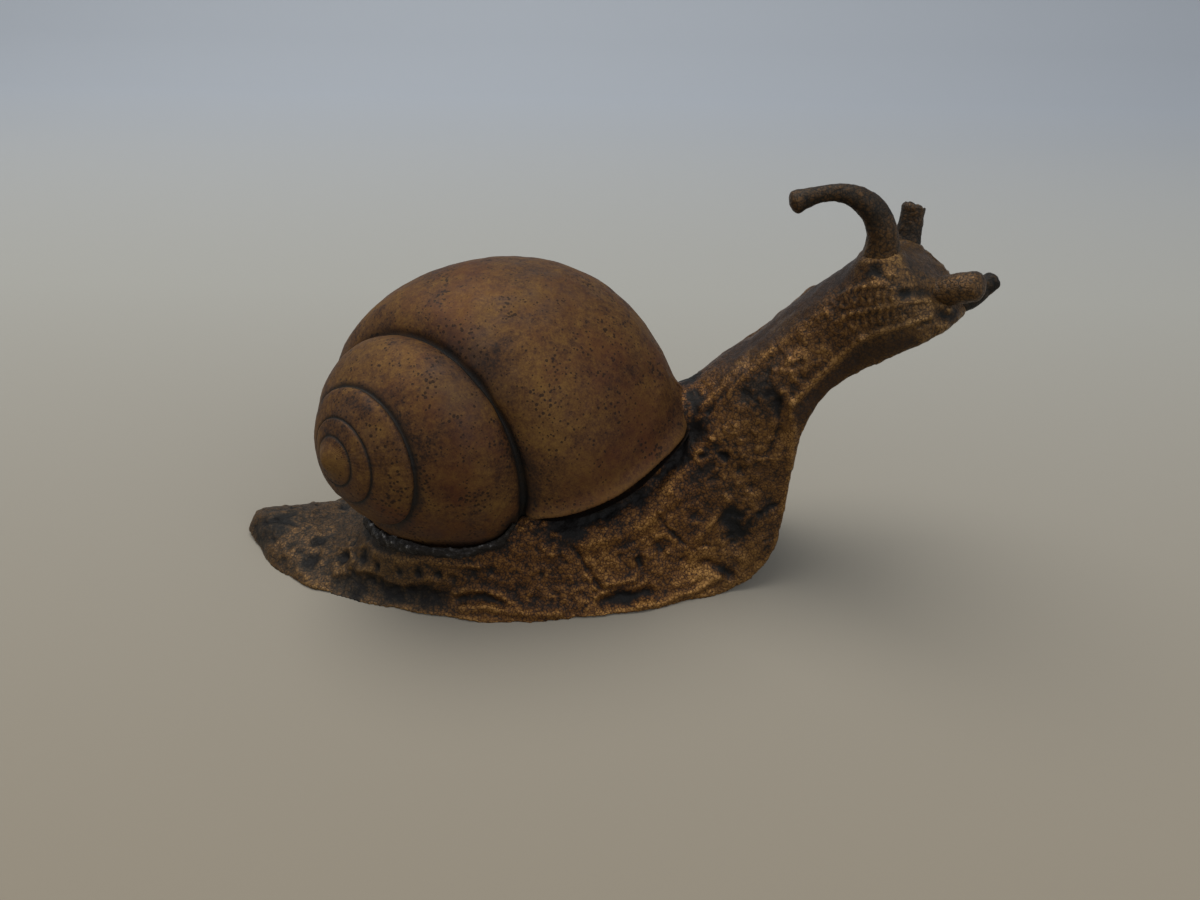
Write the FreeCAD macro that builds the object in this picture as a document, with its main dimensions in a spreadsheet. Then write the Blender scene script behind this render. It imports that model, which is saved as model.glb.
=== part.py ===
import FreeCAD, Part
import math
import os

# Snail figurine: an open-bottomed bronze body casting, a coiled shell soldered
# on its back, one long curled eye stalk, one broken eye stalk and two short
# feelers.  x runs to the head, y to the snail's left, z up.
# Lengths are millimetres.

V = FreeCAD.Vector
SEW_GAP = 0.004
os.makedirs("parts", exist_ok=True)
doc = FreeCAD.newDocument("snail_figurine")

sheet = doc.addObject("Spreadsheet::Sheet", "Sizes")
SIZES = (
    ("body_length", 91.0, "tail tip to muzzle"),
    ("foot_half_width", 17.4, "widest half width of the foot"),
    ("neck_height", 43.6, "top of the neck above the ground"),
    ("body_forward_shift", -0.4, "body middle from the frame centre, forward"),
    ("body_side_shift", -2.0, "body middle from the frame centre, left"),
    ("body_wall", 2.0, "wall of the body casting"),
    ("apex_forward", -27.4, "shell apex, forward"),
    ("apex_left", -18.3, "shell apex, left"),
    ("apex_up", 21.0, "shell apex, up"),
    ("suture_radius", 14.75, "suture radius where the last whorl ends"),
    ("suture_level", 17.4, "suture level where the last whorl ends"),
    ("whorl_radius", 23.4, "largest radius of the last whorl"),
    ("whorl_drop", 17.4, "suture to widest point of the last whorl"),
    ("shell_length", 44.8, "apex to base along the shell axis"),
    ("seat_height", 23.0, "front of the shell seat above the ground"),
    ("seat_length", 56.0, "length of the shell seat"),
    ("bead_radius", 1.15, "radius of the solder bead"),
    ("stalk_root_radius", 2.3, "near eye stalk at the head"),
    ("stalk_neck_radius", 0.85, "near eye stalk behind its knob"),
    ("stalk_knob_radius", 1.2, "knob of the near eye stalk"),
    ("stalk_reach", 10.0, "near eye stalk, root to knob"),
    ("stump_radius", 1.3, "broken far eye stalk"),
    ("stump_length", 6.2, "broken far eye stalk"),
    ("feeler_near_radius", 1.5, "near feeler"),
    ("feeler_near_length", 4.4, "near feeler"),
    ("feeler_far_radius", 1.15, "far feeler"),
    ("feeler_far_length", 6.0, "far feeler"),
)
for row, (alias, value, note) in enumerate(SIZES, start=1):
    sheet.set("A%d" % row, alias)
    sheet.set("B%d" % row, str(value))
    sheet.set("C%d" % row, note)
    sheet.setAlias("B%d" % row, alias)
doc.recompute()


def size(alias):
    return float(sheet.get(alias))


def feature(name, shape):
    obj = doc.addObject("Part::Feature", name)
    obj.Shape = shape
    return obj


def loft(name, sections, ruled=False):
    obj = doc.addObject("Part::Loft", name)
    obj.Sections = sections
    obj.Solid = True
    obj.Ruled = ruled
    return obj


def cut(name, base, tool):
    obj = doc.addObject("Part::Cut", name)
    obj.Base = base
    obj.Tool = tool
    obj.Refine = False
    return obj


def spline(points, steps):
    curve = Part.BSplineCurve()
    curve.interpolate(Points=points, Parameters=steps)
    return curve


def even_steps(count):
    return [i / (count - 1) for i in range(count)]


def row_steps(rows):
    steps = [0.0]
    for before, after in zip(rows, rows[1:]):
        gap = sum((q - p).Length for p, q in zip(before, after)) / len(after)
        steps.append(steps[-1] + gap)
    return [step / steps[-1] for step in steps]


def skin_of(curves, across):
    # One smooth surface through spline curves that share their knots.
    columns = [list(column) for column in zip(*[curve.getPoles() for curve in curves])]
    line = spline(columns[0], across)
    grid = []
    for column in columns:
        if (column[0] - column[-1]).Length + (column[0] - column[1]).Length < SEW_GAP:
            grid.append([column[0]] * (len(column) + 2))
        else:
            grid.append(spline(column, across).getPoles())
    surface = Part.BSplineSurface()
    surface.buildFromPolesMultsKnots(
        grid, curves[0].getMultiplicities(), line.getMultiplicities(),
        curves[0].getKnots(), line.getKnots(), False, False, 3, 3)
    return surface


def skin(rows, across):
    # Curves run across the rows and are joined at the mean distance of the rows.
    return skin_of([spline(row, across) for row in rows], row_steps(rows))


def solid_of(faces):
    sewn = Part.makeShell(faces)
    sewn.sewShape(SEW_GAP)
    solid = Part.makeSolid(Part.Shell(sewn.Faces))
    if solid.Volume < 0:
        solid.reverse()
    return solid


# Body casting.  Each row is one cross section, given as shares of the body
# length (forward), the neck height (up) and the foot half width (across):
# forward and up of the open edge, forward and up of the back, sideways shift,
# half width, then the half width at three heights as shares of itself.
BODY_SHARES = (
    (-0.510, 0.014, -0.505, 0.058, 0.200, 0.09, 0.98, 0.85, 0.60),
    (-0.482, 0.000, -0.482, 0.072, 0.138, 0.24, 0.96, 0.82, 0.52),
    (-0.418, 0.000, -0.418, 0.080, 0.046, 0.48, 0.95, 0.80, 0.52),
    (-0.341, 0.000, -0.341, 0.080, 0.034, 0.68, 0.95, 0.80, 0.58),
    (-0.253, 0.000, -0.253, 0.205, 0.080, 0.87, 0.95, 0.90, 0.78),
    (-0.132, 0.000, -0.132, 0.305, 0.080, 1.00, 0.94, 0.87, 0.74),
    (0.000, 0.000, -0.011, 0.425, 0.080, 0.95, 0.93, 0.80, 0.62),
    (0.110, 0.000, 0.071, 0.495, 0.075, 0.81, 0.93, 0.80, 0.62),
    (0.209, 0.000, 0.119, 0.540, 0.069, 0.61, 0.96, 0.88, 0.66),
    (0.268, 0.092, 0.156, 0.575, 0.057, 0.51, 1.00, 0.95, 0.72),
    (0.284, 0.275, 0.189, 0.634, 0.052, 0.46, 1.02, 1.00, 0.76),
    (0.292, 0.465, 0.234, 0.708, 0.029, 0.43, 1.03, 1.00, 0.78),
    (0.325, 0.612, 0.281, 0.815, 0.000, 0.38, 1.04, 1.00, 0.78),
    (0.370, 0.695, 0.327, 0.918, -0.075, 0.36, 1.05, 1.02, 0.80),
    (0.413, 0.752, 0.371, 0.990, -0.172, 0.39, 1.05, 1.04, 0.84),
    (0.450, 0.800, 0.420, 0.960, -0.276, 0.34, 1.04, 1.02, 0.84),
    (0.470, 0.845, 0.452, 0.895, -0.345, 0.18, 1.00, 0.95, 0.75),
)
BODY_TURN_DEGREES = (0, 0, 0, 0, 0, 0, 0, 0, 0, 0, 0, 2, 7, 15, 24, 31, 35)
ARCH_HEIGHT_SHARES = (0.0, 0.12, 0.45, 0.80, 1.0)
SKIN_STRIPS = 48
ARCH_STEP_SHARES = (0.0, 0.035, 0.14, 0.28, 0.5, 0.72, 0.86, 0.965, 1.0)


def body_section(index, inset=0.0, lower=0.0):
    length = size("body_length")
    height = size("neck_height")
    half = size("foot_half_width")
    row = BODY_SHARES[index]
    turn = math.radians(BODY_TURN_DEGREES[index])
    shift = row[4] * half + size("body_side_shift")
    middle = size("body_forward_shift")
    foot = V(row[0] * length + middle, shift, row[1] * height)
    back = V(row[2] * length + middle, shift, row[3] * height)
    up = back - foot
    rise = up.Length - inset
    up.normalize()
    across = V(math.sin(turn), math.cos(turn), 0)
    width = row[5] * half - inset
    foot = foot - up * lower
    rise = rise + lower
    spread = (1.0,) + row[6:9] + (0.0,)
    pairs = list(zip(spread, ARCH_HEIGHT_SHARES))
    points = [foot - across * (width * s) + up * (rise * h) for s, h in pairs]
    return points + [foot + across * (width * s) + up * (rise * h) for s, h in reversed(pairs[:-1])]


def strips(surface, steps):
    # Narrow ruled faces that follow a smooth surface from one end to the other.
    rings = [surface.vIso(step).toShape() for step in steps]
    return [Part.makeRuledSurface(p, q) for p, q in zip(rings, rings[1:])]


def arch_solid(rows, count):
    # An arch swept along the body, closed by its flat underside and two ends.
    surface = skin(rows, ARCH_STEP_SHARES)
    steps = even_steps(count + 1)
    near = [surface.value(0.0, step) for step in steps]
    far = [surface.value(1.0, step) for step in steps]
    faces = strips(surface, steps)
    for i in range(count):
        edges = [Part.makeLine(near[i], near[i + 1]), Part.makeLine(far[i], far[i + 1])]
        faces.append(Part.makeRuledSurface(*edges))
    for step in (0.0, 1.0):
        arch = surface.vIso(step).toShape()
        chord = Part.makeLine(surface.value(1.0, step), surface.value(0.0, step))
        faces.append(Part.Face(Part.Wire([arch, chord])))
    return solid_of(faces)


def closed_polygon(points):
    return Part.makePolygon(points + [points[0]])


def build_body():
    last = len(BODY_SHARES)
    outer = feature("body_skin", arch_solid([body_section(i) for i in range(last)], SKIN_STRIPS))
    wall = size("body_wall")
    rows = [body_section(i, wall, wall) for i in range(2, last - 2)]
    sections = [feature("hollow_section_%d" % i, closed_polygon(r)) for i, r in enumerate(rows)]
    hollow = loft("body_hollow", sections, True)
    open_body = cut("body_open", outer, hollow)
    ground = doc.addObject("Part::Box", "ground_block")
    ground.setExpression("Length", "Sizes.body_length * 1.4")
    ground.setExpression("Width", "Sizes.foot_half_width * 4")
    ground.setExpression("Height", "Sizes.body_wall * 4")
    ground.setExpression("Placement.Base.x", "-Sizes.body_length * 0.7")
    ground.setExpression("Placement.Base.y", "-Sizes.foot_half_width * 2")
    ground.setExpression("Placement.Base.z", "-Sizes.body_wall * 4")
    return outer, cut("body_trimmed", open_body, ground)


# Shell.  A right-handed coil: the suture radius and level grow with the turn
# angle, which is zero where the last whorl ends and negative towards the apex.
SHELL_HEADING = 0.8695
SHELL_PITCH = -0.1034
SHELL_PHASE = 2.1087
SUTURE_RADIUS_GROWTH = (0.0768, -0.0003)
SUTURE_LEVEL_GROWTH = (0.1929, 0.0024)
WHORL_RADIUS_GROWTH = (0.0500, -0.0060)
WHORL_DROP_GROWTH = 0.0909
BULGE_SHARE = 0.165
BULGE_POWER = 1.0
BASE_POWER = 2.28
CLOSING_ANGLE = 1.0
TURN = 2 * math.pi


def growth(angle, rates):
    return math.exp(rates[0] * angle + rates[1] * angle * angle)


def suture(angle):
    radius = size("suture_radius") * growth(angle, SUTURE_RADIUS_GROWTH)
    level = size("suture_level") * growth(angle, SUTURE_LEVEL_GROWTH)
    return radius, level


def spire_radius(angle, level):
    r0, z0 = suture(angle)
    r1, z1 = suture(angle + TURN)
    t = min(max((level - z0) / (z1 - z0), 0.0), 1.0)
    chord = math.hypot(r1 - r0, z1 - z0)
    arc = max(1.0 - (2.0 * t - 1.0) ** 2, 0.0) ** BULGE_POWER
    return r0 + (r1 - r0) * t + BULGE_SHARE * chord * arc


def whorl_radius(angle, level):
    r0, z0 = suture(angle)
    widest = size("whorl_radius") * growth(angle, WHORL_RADIUS_GROWTH)
    middle = z0 + size("whorl_drop") * math.exp(WHORL_DROP_GROWTH * angle)
    if level < middle:
        t = max((level - z0) / (middle - z0), 0.0)
        return r0 + (widest - r0) * math.sqrt(max(1.0 - (1.0 - t) ** 2, 0.0))
    t = min((level - middle) / (size("shell_length") - middle), 1.0)
    return widest * max(1.0 - t ** BASE_POWER, 0.0) ** (1.0 / BASE_POWER)


def coil_radius(angle, level):
    if angle < -TURN:
        return spire_radius(angle, level)
    r_end, z_end = suture(0.0)
    share = min((angle + TURN) / CLOSING_ANGLE, 1.0)
    share = share * share * (3.0 - 2.0 * share)
    near = min(angle, CLOSING_ANGLE - TURN)
    if level < z_end:
        start = spire_radius(near, level)
    else:
        fade = math.exp((z_end - level) / (z_end * 0.17))
        start = whorl_radius(0.0, level) + (spire_radius(near, z_end) - r_end) * fade
    return (1.0 - share) * start + share * whorl_radius(angle, level)


def shell_axes():
    axis = V(
        math.cos(SHELL_PITCH) * math.cos(SHELL_HEADING),
        math.cos(SHELL_PITCH) * math.sin(SHELL_HEADING),
        math.sin(SHELL_PITCH),
    )
    up = V(0, 0, 1) - axis * axis.z
    up.normalize()
    return up, axis.cross(up), axis


def shell_point(angle, radius, level):
    up, side, axis = shell_axes()
    apex = V(size("apex_forward"), size("apex_left"), size("apex_up"))
    phase = SHELL_PHASE + angle
    return apex + up * (radius * math.cos(phase)) + side * (radius * math.sin(phase)) + axis * level


SPIRE_TURNS = 4
STRIPS_PER_TURN = 48
TIP_LEVEL_SHARE = 0.4
TURN_STATIONS = 12
BAND_POINTS = 6
BASE_LEVEL_SHARES = (0.000, 0.030, 0.090, 0.180, 0.290, 0.410, 0.530, 0.650, 0.760,
                     0.860, 0.930, 0.975, 0.996)


def turn_angles(turns):
    # Growth angles of the stations over the last turns, ending at zero.
    count = turns * TURN_STATIONS
    return [TURN * (i - count) / TURN_STATIONS for i in range(count + 1)]


def suture_curve(angles, whole):
    curve = spline([shell_point(a, *suture(a)) for a in whole], whole)
    curve.segment(angles[0], angles[-1])
    return curve


def band_points(angle, low, high):
    points = []
    for step in even_steps(BAND_POINTS):
        level = low + (high - low) * (1.0 - math.cos(math.pi * step)) / 2.0
        points.append(shell_point(angle, coil_radius(angle, level), level))
    return points


def shifted(curve, start, end):
    # The same curve with its parameter range moved to start and end.
    knots = curve.getKnots()
    scale = (end - start) / (knots[-1] - knots[0])
    moved = [start + (knot - knots[0]) * scale for knot in knots]
    same = Part.BSplineCurve()
    same.buildFromPolesMultsKnots(curve.getPoles(), curve.getMultiplicities(), moved, False, 3)
    return same


def band(rows, angles, upper, lower):
    # Ribbon between two suture curves, through the points of its rows.
    start, end = angles[0], angles[-1]
    curves = [shifted(upper, start, end)]
    for index in range(1, BAND_POINTS - 1):
        curves.append(spline([row[index] for row in rows], angles))
    curves.append(shifted(lower, start, end))
    shared_row = band_points(-TURN, suture(-TURN)[1], suture(0.0)[1])
    return skin_of(curves, row_steps([[point] for point in shared_row]))


def ring_strips(edges):
    return [Part.makeRuledSurface(p, q) for p, q in zip(edges, edges[1:])]


def profile_edges(surface, start, turns):
    # Profiles of a band at even angles, from which its narrow faces are ruled.
    count = turns * STRIPS_PER_TURN
    return [surface.uIso(start + TURN * i / STRIPS_PER_TURN).toShape() for i in range(count + 1)]


def corner(edge, last):
    return edge.valueAt(edge.LastParameter if last else edge.FirstParameter)


def flat_face(points):
    return Part.Face(closed_polygon(points))


def spire_faces(whole):
    stations = [angle - TURN for angle in turn_angles(SPIRE_TURNS - 1)]
    rows = [band_points(a, suture(a)[1], suture(a + TURN)[1]) for a in stations]
    first, last = rows[0][0], rows[0][-1]
    rows[0] = [first + (last - first) * step for step in even_steps(BAND_POINTS)]
    upper = suture_curve(stations, whole)
    lower = suture_curve([stations[0] + TURN, 0.0], whole)
    surface = band(rows, stations, upper, lower)
    edges = profile_edges(surface, stations[0], SPIRE_TURNS - 1)
    tip = shell_point(0.0, 0.0, suture(stations[0])[1] * TIP_LEVEL_SHARE)
    top = [corner(edge, False) for edge in edges[:STRIPS_PER_TURN + 1]]
    cap = [flat_face([tip, p, q]) for p, q in zip(top, top[1:])]
    return ring_strips(edges) + cap + [flat_face([tip, first, last])]


def base_faces(whole):
    # The last whorl below the suture, then the rounded base closed by a disc.
    angles = turn_angles(1)
    z_end = suture(0.0)[1]
    rows = [band_points(a, suture(a)[1], z_end) for a in angles]
    rim = spline([row[-1] for row in rows], angles)
    surface = band(rows, angles, suture_curve(angles, whole), rim)
    edges = profile_edges(surface, -TURN, 1)[:-1]
    low, high = corner(edges[-1], False), corner(edges[-1], True)
    edges[-1] = Part.makeLine(low, high)
    faces = ring_strips(edges) + [flat_face([low, high, rows[-1][0]])]
    rings = []
    for share in BASE_LEVEL_SHARES:
        level = z_end + (size("shell_length") - z_end) * share
        ring = [shell_point(a, coil_radius(a, level), level) for a in angles]
        ring[-1] = ring[0]
        rings.append(ring)
    curves = [spline(ring, angles) for ring in rings]
    dome = profile_edges(skin_of(curves, list(BASE_LEVEL_SHARES[:-1]) + [1.0]), -TURN, 1)
    disc = [corner(edge, True) for edge in dome[:-1]]
    return faces + ring_strips(dome) + [flat_face(disc)]


def shell_faces():
    whole = turn_angles(SPIRE_TURNS)
    return spire_faces(whole) + base_faces(whole)


# Seat under the shell: rows along the body, as shares of the seat length
# forward, then the seat height near, in the middle and far.
SEAT_SHARES = (
    (-0.80, 0.10, 0.10, 0.10),
    (-0.54, 0.24, 0.26, 0.24),
    (-0.36, 0.38, 0.40, 0.38),
    (-0.16, 0.45, 0.52, 0.47),
    (-0.11, 0.64, 0.64, 0.52),
    (0.02, 0.68, 0.78, 0.60),
    (0.13, 0.75, 0.89, 0.70),
    (0.21, 0.84, 0.96, 0.82),
    (0.32, 1.04, 1.06, 1.04),
)


def seat_section(row):
    x = row[0] * size("seat_length") + size("body_forward_shift")
    y = size("body_side_shift")
    half = size("foot_half_width")
    high = size("seat_height")
    floor = -high * 0.2
    points = [
        V(x, y - half * 1.9, row[1] * high),
        V(x, y - half * 0.85, row[1] * high),
        V(x, y + half * 0.08, row[2] * high),
        V(x, y + half * 1.0, row[3] * high),
        V(x, y + half * 1.9, row[3] * high),
    ]
    top = spline(points, [0.0, 0.27, 0.5, 0.73, 1.0]).toShape()
    far = V(x, y + half * 1.9, floor)
    near = V(x, y - half * 1.9, floor)
    sides = [Part.makeLine(points[-1], far), Part.makeLine(far, near), Part.makeLine(near, points[0])]
    return Part.Wire([top] + sides)


def build_seat():
    rows = [feature("seat_section_%d" % i, seat_section(r)) for i, r in enumerate(SEAT_SHARES)]
    return loft("shell_seat", rows, True)


TUBE_SIDES = 12


def horn(name, path, radii, across):
    # Slender tube through rings square to the path, all starting on one side.
    rings = []
    count = len(path)
    for i, point in enumerate(path):
        heading = path[min(i + 1, count - 1)] - path[max(i - 1, 0)]
        ring = doc.addObject("Part::RegularPolygon", "%s_ring_%d" % (name, i))
        ring.Polygon = TUBE_SIDES
        ring.setExpression("Circumradius", radii[i])
        ring.Placement = FreeCAD.Placement(point, FreeCAD.Rotation(across, V(), heading, "ZXY"))
        rings.append(ring)
    return loft(name + "_horn", rings, True)


BEAD_POINTS = 13
BEAD_FRONT_SHARE = -0.30
BEAD_DROP_SHARE = 0.3
BEAD_END_SHARE = 0.6


def join_points(outside, carriers):
    # Points where the shell meets what carries it, with their bearings from its middle.
    middle = size("apex_forward") + size("whorl_radius")
    front = size("whorl_radius") * BEAD_FRONT_SHARE
    found = []
    for carrier in carriers:
        for edge in outside.Shape.section(carrier.Shape).Edges:
            for point in edge.discretize(Distance=size("bead_radius")):
                if point.x < front:
                    bearing = math.atan2(point.y - size("body_side_shift"), middle - point.x)
                    found.append((bearing, point))
    return found


def build_bead(outside, seat, body_skin):
    # Solder run along the rear of the join, on whichever carrier stands higher there.
    found = join_points(outside, (seat, body_skin))
    low = min(bearing for bearing, point in found)
    high = max(bearing for bearing, point in found)
    reach = (high - low) / (BEAD_POINTS - 1)
    drop = V(0, 0, size("bead_radius") * BEAD_DROP_SHARE)
    path = []
    for step in even_steps(BEAD_POINTS):
        aim = low + (high - low) * step
        near = [point for bearing, point in found if abs(bearing - aim) < reach * 0.5]
        path.append(max(near, key=lambda point: point.z) - drop)
    radii = ["Sizes.bead_radius"] * BEAD_POINTS
    radii[0] = radii[-1] = "Sizes.bead_radius * %s" % BEAD_END_SHARE
    rope = horn("bead", path, radii, V(0, 0, 1))
    clear = cut("bead_off_shell", rope, outside)
    return cut("bead_off_body", clear, body_skin)


def head_point(forward, left, up):
    return V(
        forward * size("body_length") + size("body_forward_shift"),
        left * size("foot_half_width") + size("body_side_shift"),
        up * size("neck_height"),
    )


CURL_SHARES = (
    (0.00, 0.00, -0.10), (0.00, 0.01, 0.10), (-0.05, 0.03, 0.32), (-0.16, 0.05, 0.50),
    (-0.32, 0.07, 0.61), (-0.51, 0.09, 0.655), (-0.72, 0.11, 0.625), (-0.87, 0.12, 0.575),
    (-0.96, 0.12, 0.54), (-1.00, 0.12, 0.52),
)


def build_near_stalk():
    root = head_point(0.357, -0.345, 0.985)
    reach = size("stalk_reach")
    path = [root + V(a * reach, b * reach, c * reach) for a, b, c in CURL_SHARES]
    radii = (
        "Sizes.stalk_root_radius", "Sizes.stalk_root_radius * 0.86",
        "Sizes.stalk_root_radius * 0.68", "Sizes.stalk_root_radius * 0.59",
        "Sizes.stalk_root_radius * 0.53", "Sizes.stalk_neck_radius * 1.12",
        "Sizes.stalk_neck_radius", "Sizes.stalk_knob_radius",
        "Sizes.stalk_knob_radius * 0.95", "Sizes.stalk_knob_radius * 0.55",
    )
    return horn("near_stalk", path, radii, V(0, 1, 0))


def straight_horn(name, root, heading, length, alias, flares):
    heading.normalize()
    count = len(flares)
    path = [root + heading * (length * i / (count - 1)) for i in range(count)]
    radii = ["Sizes.%s * %s" % (alias, flare) for flare in flares]
    return horn(name, path, radii, V(0, 1, 0))


def build_far_stump():
    root = head_point(0.411, 0.02, 0.945)
    return straight_horn("far_stalk", root, V(0.02, 0.12, 1.0), size("stump_length"),
                         "stump_radius", (1.45, 1.0, 0.92, 1.0))


def build_feelers():
    near = straight_horn("near_feeler", head_point(0.432, -0.38, 0.895), V(0.68, -0.62, 0.32),
                         size("feeler_near_length"), "feeler_near_radius", (1.05, 1.0, 1.0, 0.82))
    far = straight_horn("far_feeler", head_point(0.462, -0.25, 0.845), V(0.78, 0.14, 0.62),
                        size("feeler_far_length"), "feeler_far_radius", (1.25, 1.0, 0.95, 0.8))
    return near, far


def build():
    body_skin, body = build_body()
    outside = feature("shell_outside", solid_of(shell_faces()))
    seat = build_seat()
    doc.recompute()
    seated = cut("shell_seated", outside, seat)
    shell = cut("shell_fitted", seated, body_skin)
    bead = build_bead(outside, seat, body_skin)
    stalk = cut("near_stalk_fitted", build_near_stalk(), body_skin)
    stump = cut("far_stalk_fitted", build_far_stump(), body_skin)
    near, far = build_feelers()
    near = cut("near_feeler_fitted", near, body_skin)
    far = cut("far_feeler_fitted", far, body_skin)
    return {
        "body_casting": body,
        "shell_casting": shell,
        "solder_bead": bead,
        "near_eye_stalk": stalk,
        "far_eye_stalk": stump,
        "near_feeler": near,
        "far_feeler": far,
    }


nodes = build()
doc.recompute()
for obj in doc.Objects:
    if "Invalid" in obj.State or "Error" in obj.State:
        raise RuntimeError("%s is not sound: %s" % (obj.Name, obj.State))
for name, obj in nodes.items():
    shape = obj.Shape
    if shape.isNull() or not shape.isValid():
        raise RuntimeError("%s has no valid shape" % name)
    print(name, len(shape.Solids), round(shape.Volume, 1), [round(v, 2) for v in (
        shape.BoundBox.XMin, shape.BoundBox.XMax, shape.BoundBox.YMin, shape.BoundBox.YMax,
        shape.BoundBox.ZMin, shape.BoundBox.ZMax)])
    shape.exportStep("parts/%s.step" % name)
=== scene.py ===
import math
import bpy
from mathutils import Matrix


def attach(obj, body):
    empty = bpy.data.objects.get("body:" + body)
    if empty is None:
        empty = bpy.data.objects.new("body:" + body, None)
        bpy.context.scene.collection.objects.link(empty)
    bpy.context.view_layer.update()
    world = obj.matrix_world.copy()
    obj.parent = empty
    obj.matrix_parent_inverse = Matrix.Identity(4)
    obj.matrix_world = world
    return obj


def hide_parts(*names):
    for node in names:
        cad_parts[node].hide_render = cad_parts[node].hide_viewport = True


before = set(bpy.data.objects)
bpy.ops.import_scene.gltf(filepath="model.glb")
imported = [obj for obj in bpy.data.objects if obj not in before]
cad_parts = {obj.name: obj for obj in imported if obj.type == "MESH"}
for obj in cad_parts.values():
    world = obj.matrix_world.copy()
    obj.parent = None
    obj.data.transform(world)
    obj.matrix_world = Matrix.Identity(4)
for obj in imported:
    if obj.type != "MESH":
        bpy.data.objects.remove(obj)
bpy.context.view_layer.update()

from types import SimpleNamespace

import bpy
import numpy as np
from mathutils import Matrix, Vector, noise
from mathutils.bvhtree import BVHTree
from mathutils.kdtree import KDTree

# Snail figurine in patinated bronze.  x runs to the head, y to the snail's
# left, z up.  Lengths below are millimetres and become metres in the meshes.
MM = 0.001

# Camera, matched to the weave of the cloth in the photograph
IMAGE_WIDTH, IMAGE_HEIGHT = 1200, 900
FOCAL_PIXELS = 867.0
CAMERA_PLACE = (2.35, -100.07, 69.15)
CAMERA_TILT = math.radians(28.75)
CAMERA_ROLL = math.radians(1.175)

# Shell, as in the part's source
APEX = (-27.4, -18.3, 21.0)
SHELL_HEADING = 0.8695
SHELL_PITCH = -0.1034
SHELL_PHASE = 2.1087
SUTURE_RADIUS, SUTURE_LEVEL = 14.75, 17.4
WHORL_RADIUS, WHORL_DROP = 23.4, 17.4
SHELL_LENGTH = 44.8
SUTURE_RADIUS_GROWTH = (0.0768, -0.0003)
SUTURE_LEVEL_GROWTH = (0.1929, 0.0024)
WHORL_RADIUS_GROWTH = (0.0500, -0.0060)
WHORL_DROP_GROWTH = 0.0909
BULGE_SHARE, BASE_POWER = 0.165, 2.28
CLOSING_ANGLE = 1.0
TURN = 2 * math.pi

# Seat of the shell in the body's back, as in the part's source
FOOT_HALF_WIDTH, SEAT_HEIGHT, SEAT_LENGTH = 17.4, 23.0, 56.0
BODY_FORWARD_SHIFT, BODY_SIDE_SHIFT = -0.4, -2.0
SEAT_SHARES = (
    (-0.80, 0.10, 0.10, 0.10),
    (-0.54, 0.24, 0.26, 0.24),
    (-0.36, 0.38, 0.40, 0.38),
    (-0.16, 0.45, 0.52, 0.47),
    (-0.11, 0.64, 0.64, 0.52),
    (0.02, 0.68, 0.78, 0.60),
    (0.13, 0.75, 0.89, 0.70),
    (0.21, 0.84, 0.96, 0.82),
    (0.32, 1.04, 1.06, 1.04),
)

# Middle line of the body casting: forward, left, up
BODY_MIDDLE = (
    (-48, 1.5, 0.5), (-40, -1, 0.5), (-20, -1, 2), (0, -0.6, 5), (8, -0.7, 7), (14, -1.2, 11), (20, -1.5, 19),
    (25, -2, 27), (31, -3, 34), (36, -5, 37), (41, -7.5, 38.5),
)

# Colours of the bronze, in linear light
# Darkest patina, also used for painted shade under the shell's lip and beside the solder
DARK_PATINA_AND_SHADE = (0.0055, 0.0044, 0.0040)
COOL_PATINA = (0.0085, 0.0105, 0.0105)
DEEP_BROWN = (0.020, 0.0110, 0.0060)
BROWN_PATINA = (0.073, 0.0300, 0.0095)
# Smooth dark patina of the neck's back, also used for the painted shadow on the strip under the neck
BACK_PATINA_AND_SHADOW = (0.026, 0.0160, 0.0115)
OLIVE_WEAR = (0.118, 0.089, 0.046)
OCHRE_WEAR = (0.155, 0.073, 0.0205)
GOLD_WEAR = (0.275, 0.143, 0.042)
SHELL_DARK = (0.013, 0.0068, 0.0040)
SHELL_UMBER = (0.047, 0.0200, 0.0075)
SHELL_BROWN = (0.087, 0.040, 0.0124)
SHELL_OCHRE = (0.153, 0.080, 0.0210)
SHELL_RED = (0.075, 0.0215, 0.0070)
SHELL_GREY = (0.060, 0.043, 0.034)
SOLDER_DARK = (0.008, 0.007, 0.006)
SOLDER_GREY = (0.026, 0.023, 0.021)
SOLDER_PALE = (0.060, 0.058, 0.056)
SOLDER_BRIGHT = (0.30, 0.29, 0.28)
# Cloth, darker and warmer in front and lighter and cooler behind: painted light on the floor
CLOTH_NEAR = (0.218, 0.180, 0.122)
CLOTH_MIDDLE = (0.318, 0.320, 0.295)
CLOTH_FAR = (0.360, 0.395, 0.435)


def add_object(name, data):
    made = bpy.data.objects.new(name, data)
    bpy.context.collection.objects.link(made)
    return made


def new_object(name, vertices, faces):
    data = bpy.data.meshes.new(name)
    data.from_pydata([tuple(v) for v in np.asarray(vertices) * MM], [], [tuple(f) for f in faces])
    data.validate()
    data.polygons.foreach_set("use_smooth", [True] * len(data.polygons))
    return add_object(name, data)


def places(piece):
    out = np.zeros(len(piece.data.vertices) * 3)
    piece.data.vertices.foreach_get("co", out)
    return out.reshape(-1, 3) / MM


def normals(piece):
    out = np.zeros(len(piece.data.vertices) * 3, np.float32)
    piece.data.vertex_normals.foreach_get("vector", out)
    return out.reshape(-1, 3).astype(float)


def set_places(piece, points):
    piece.data.vertices.foreach_set("co", (np.asarray(points) * MM).ravel())
    piece.data.update()


def set_attributes(piece, **layers):
    # One value, or one for each vertex, by name.
    for name, values in layers.items():
        layer = piece.data.attributes.new(name, "FLOAT", "POINT")
        layer.data.foreach_set("value", np.full(len(layer.data), values, np.float32))


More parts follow.
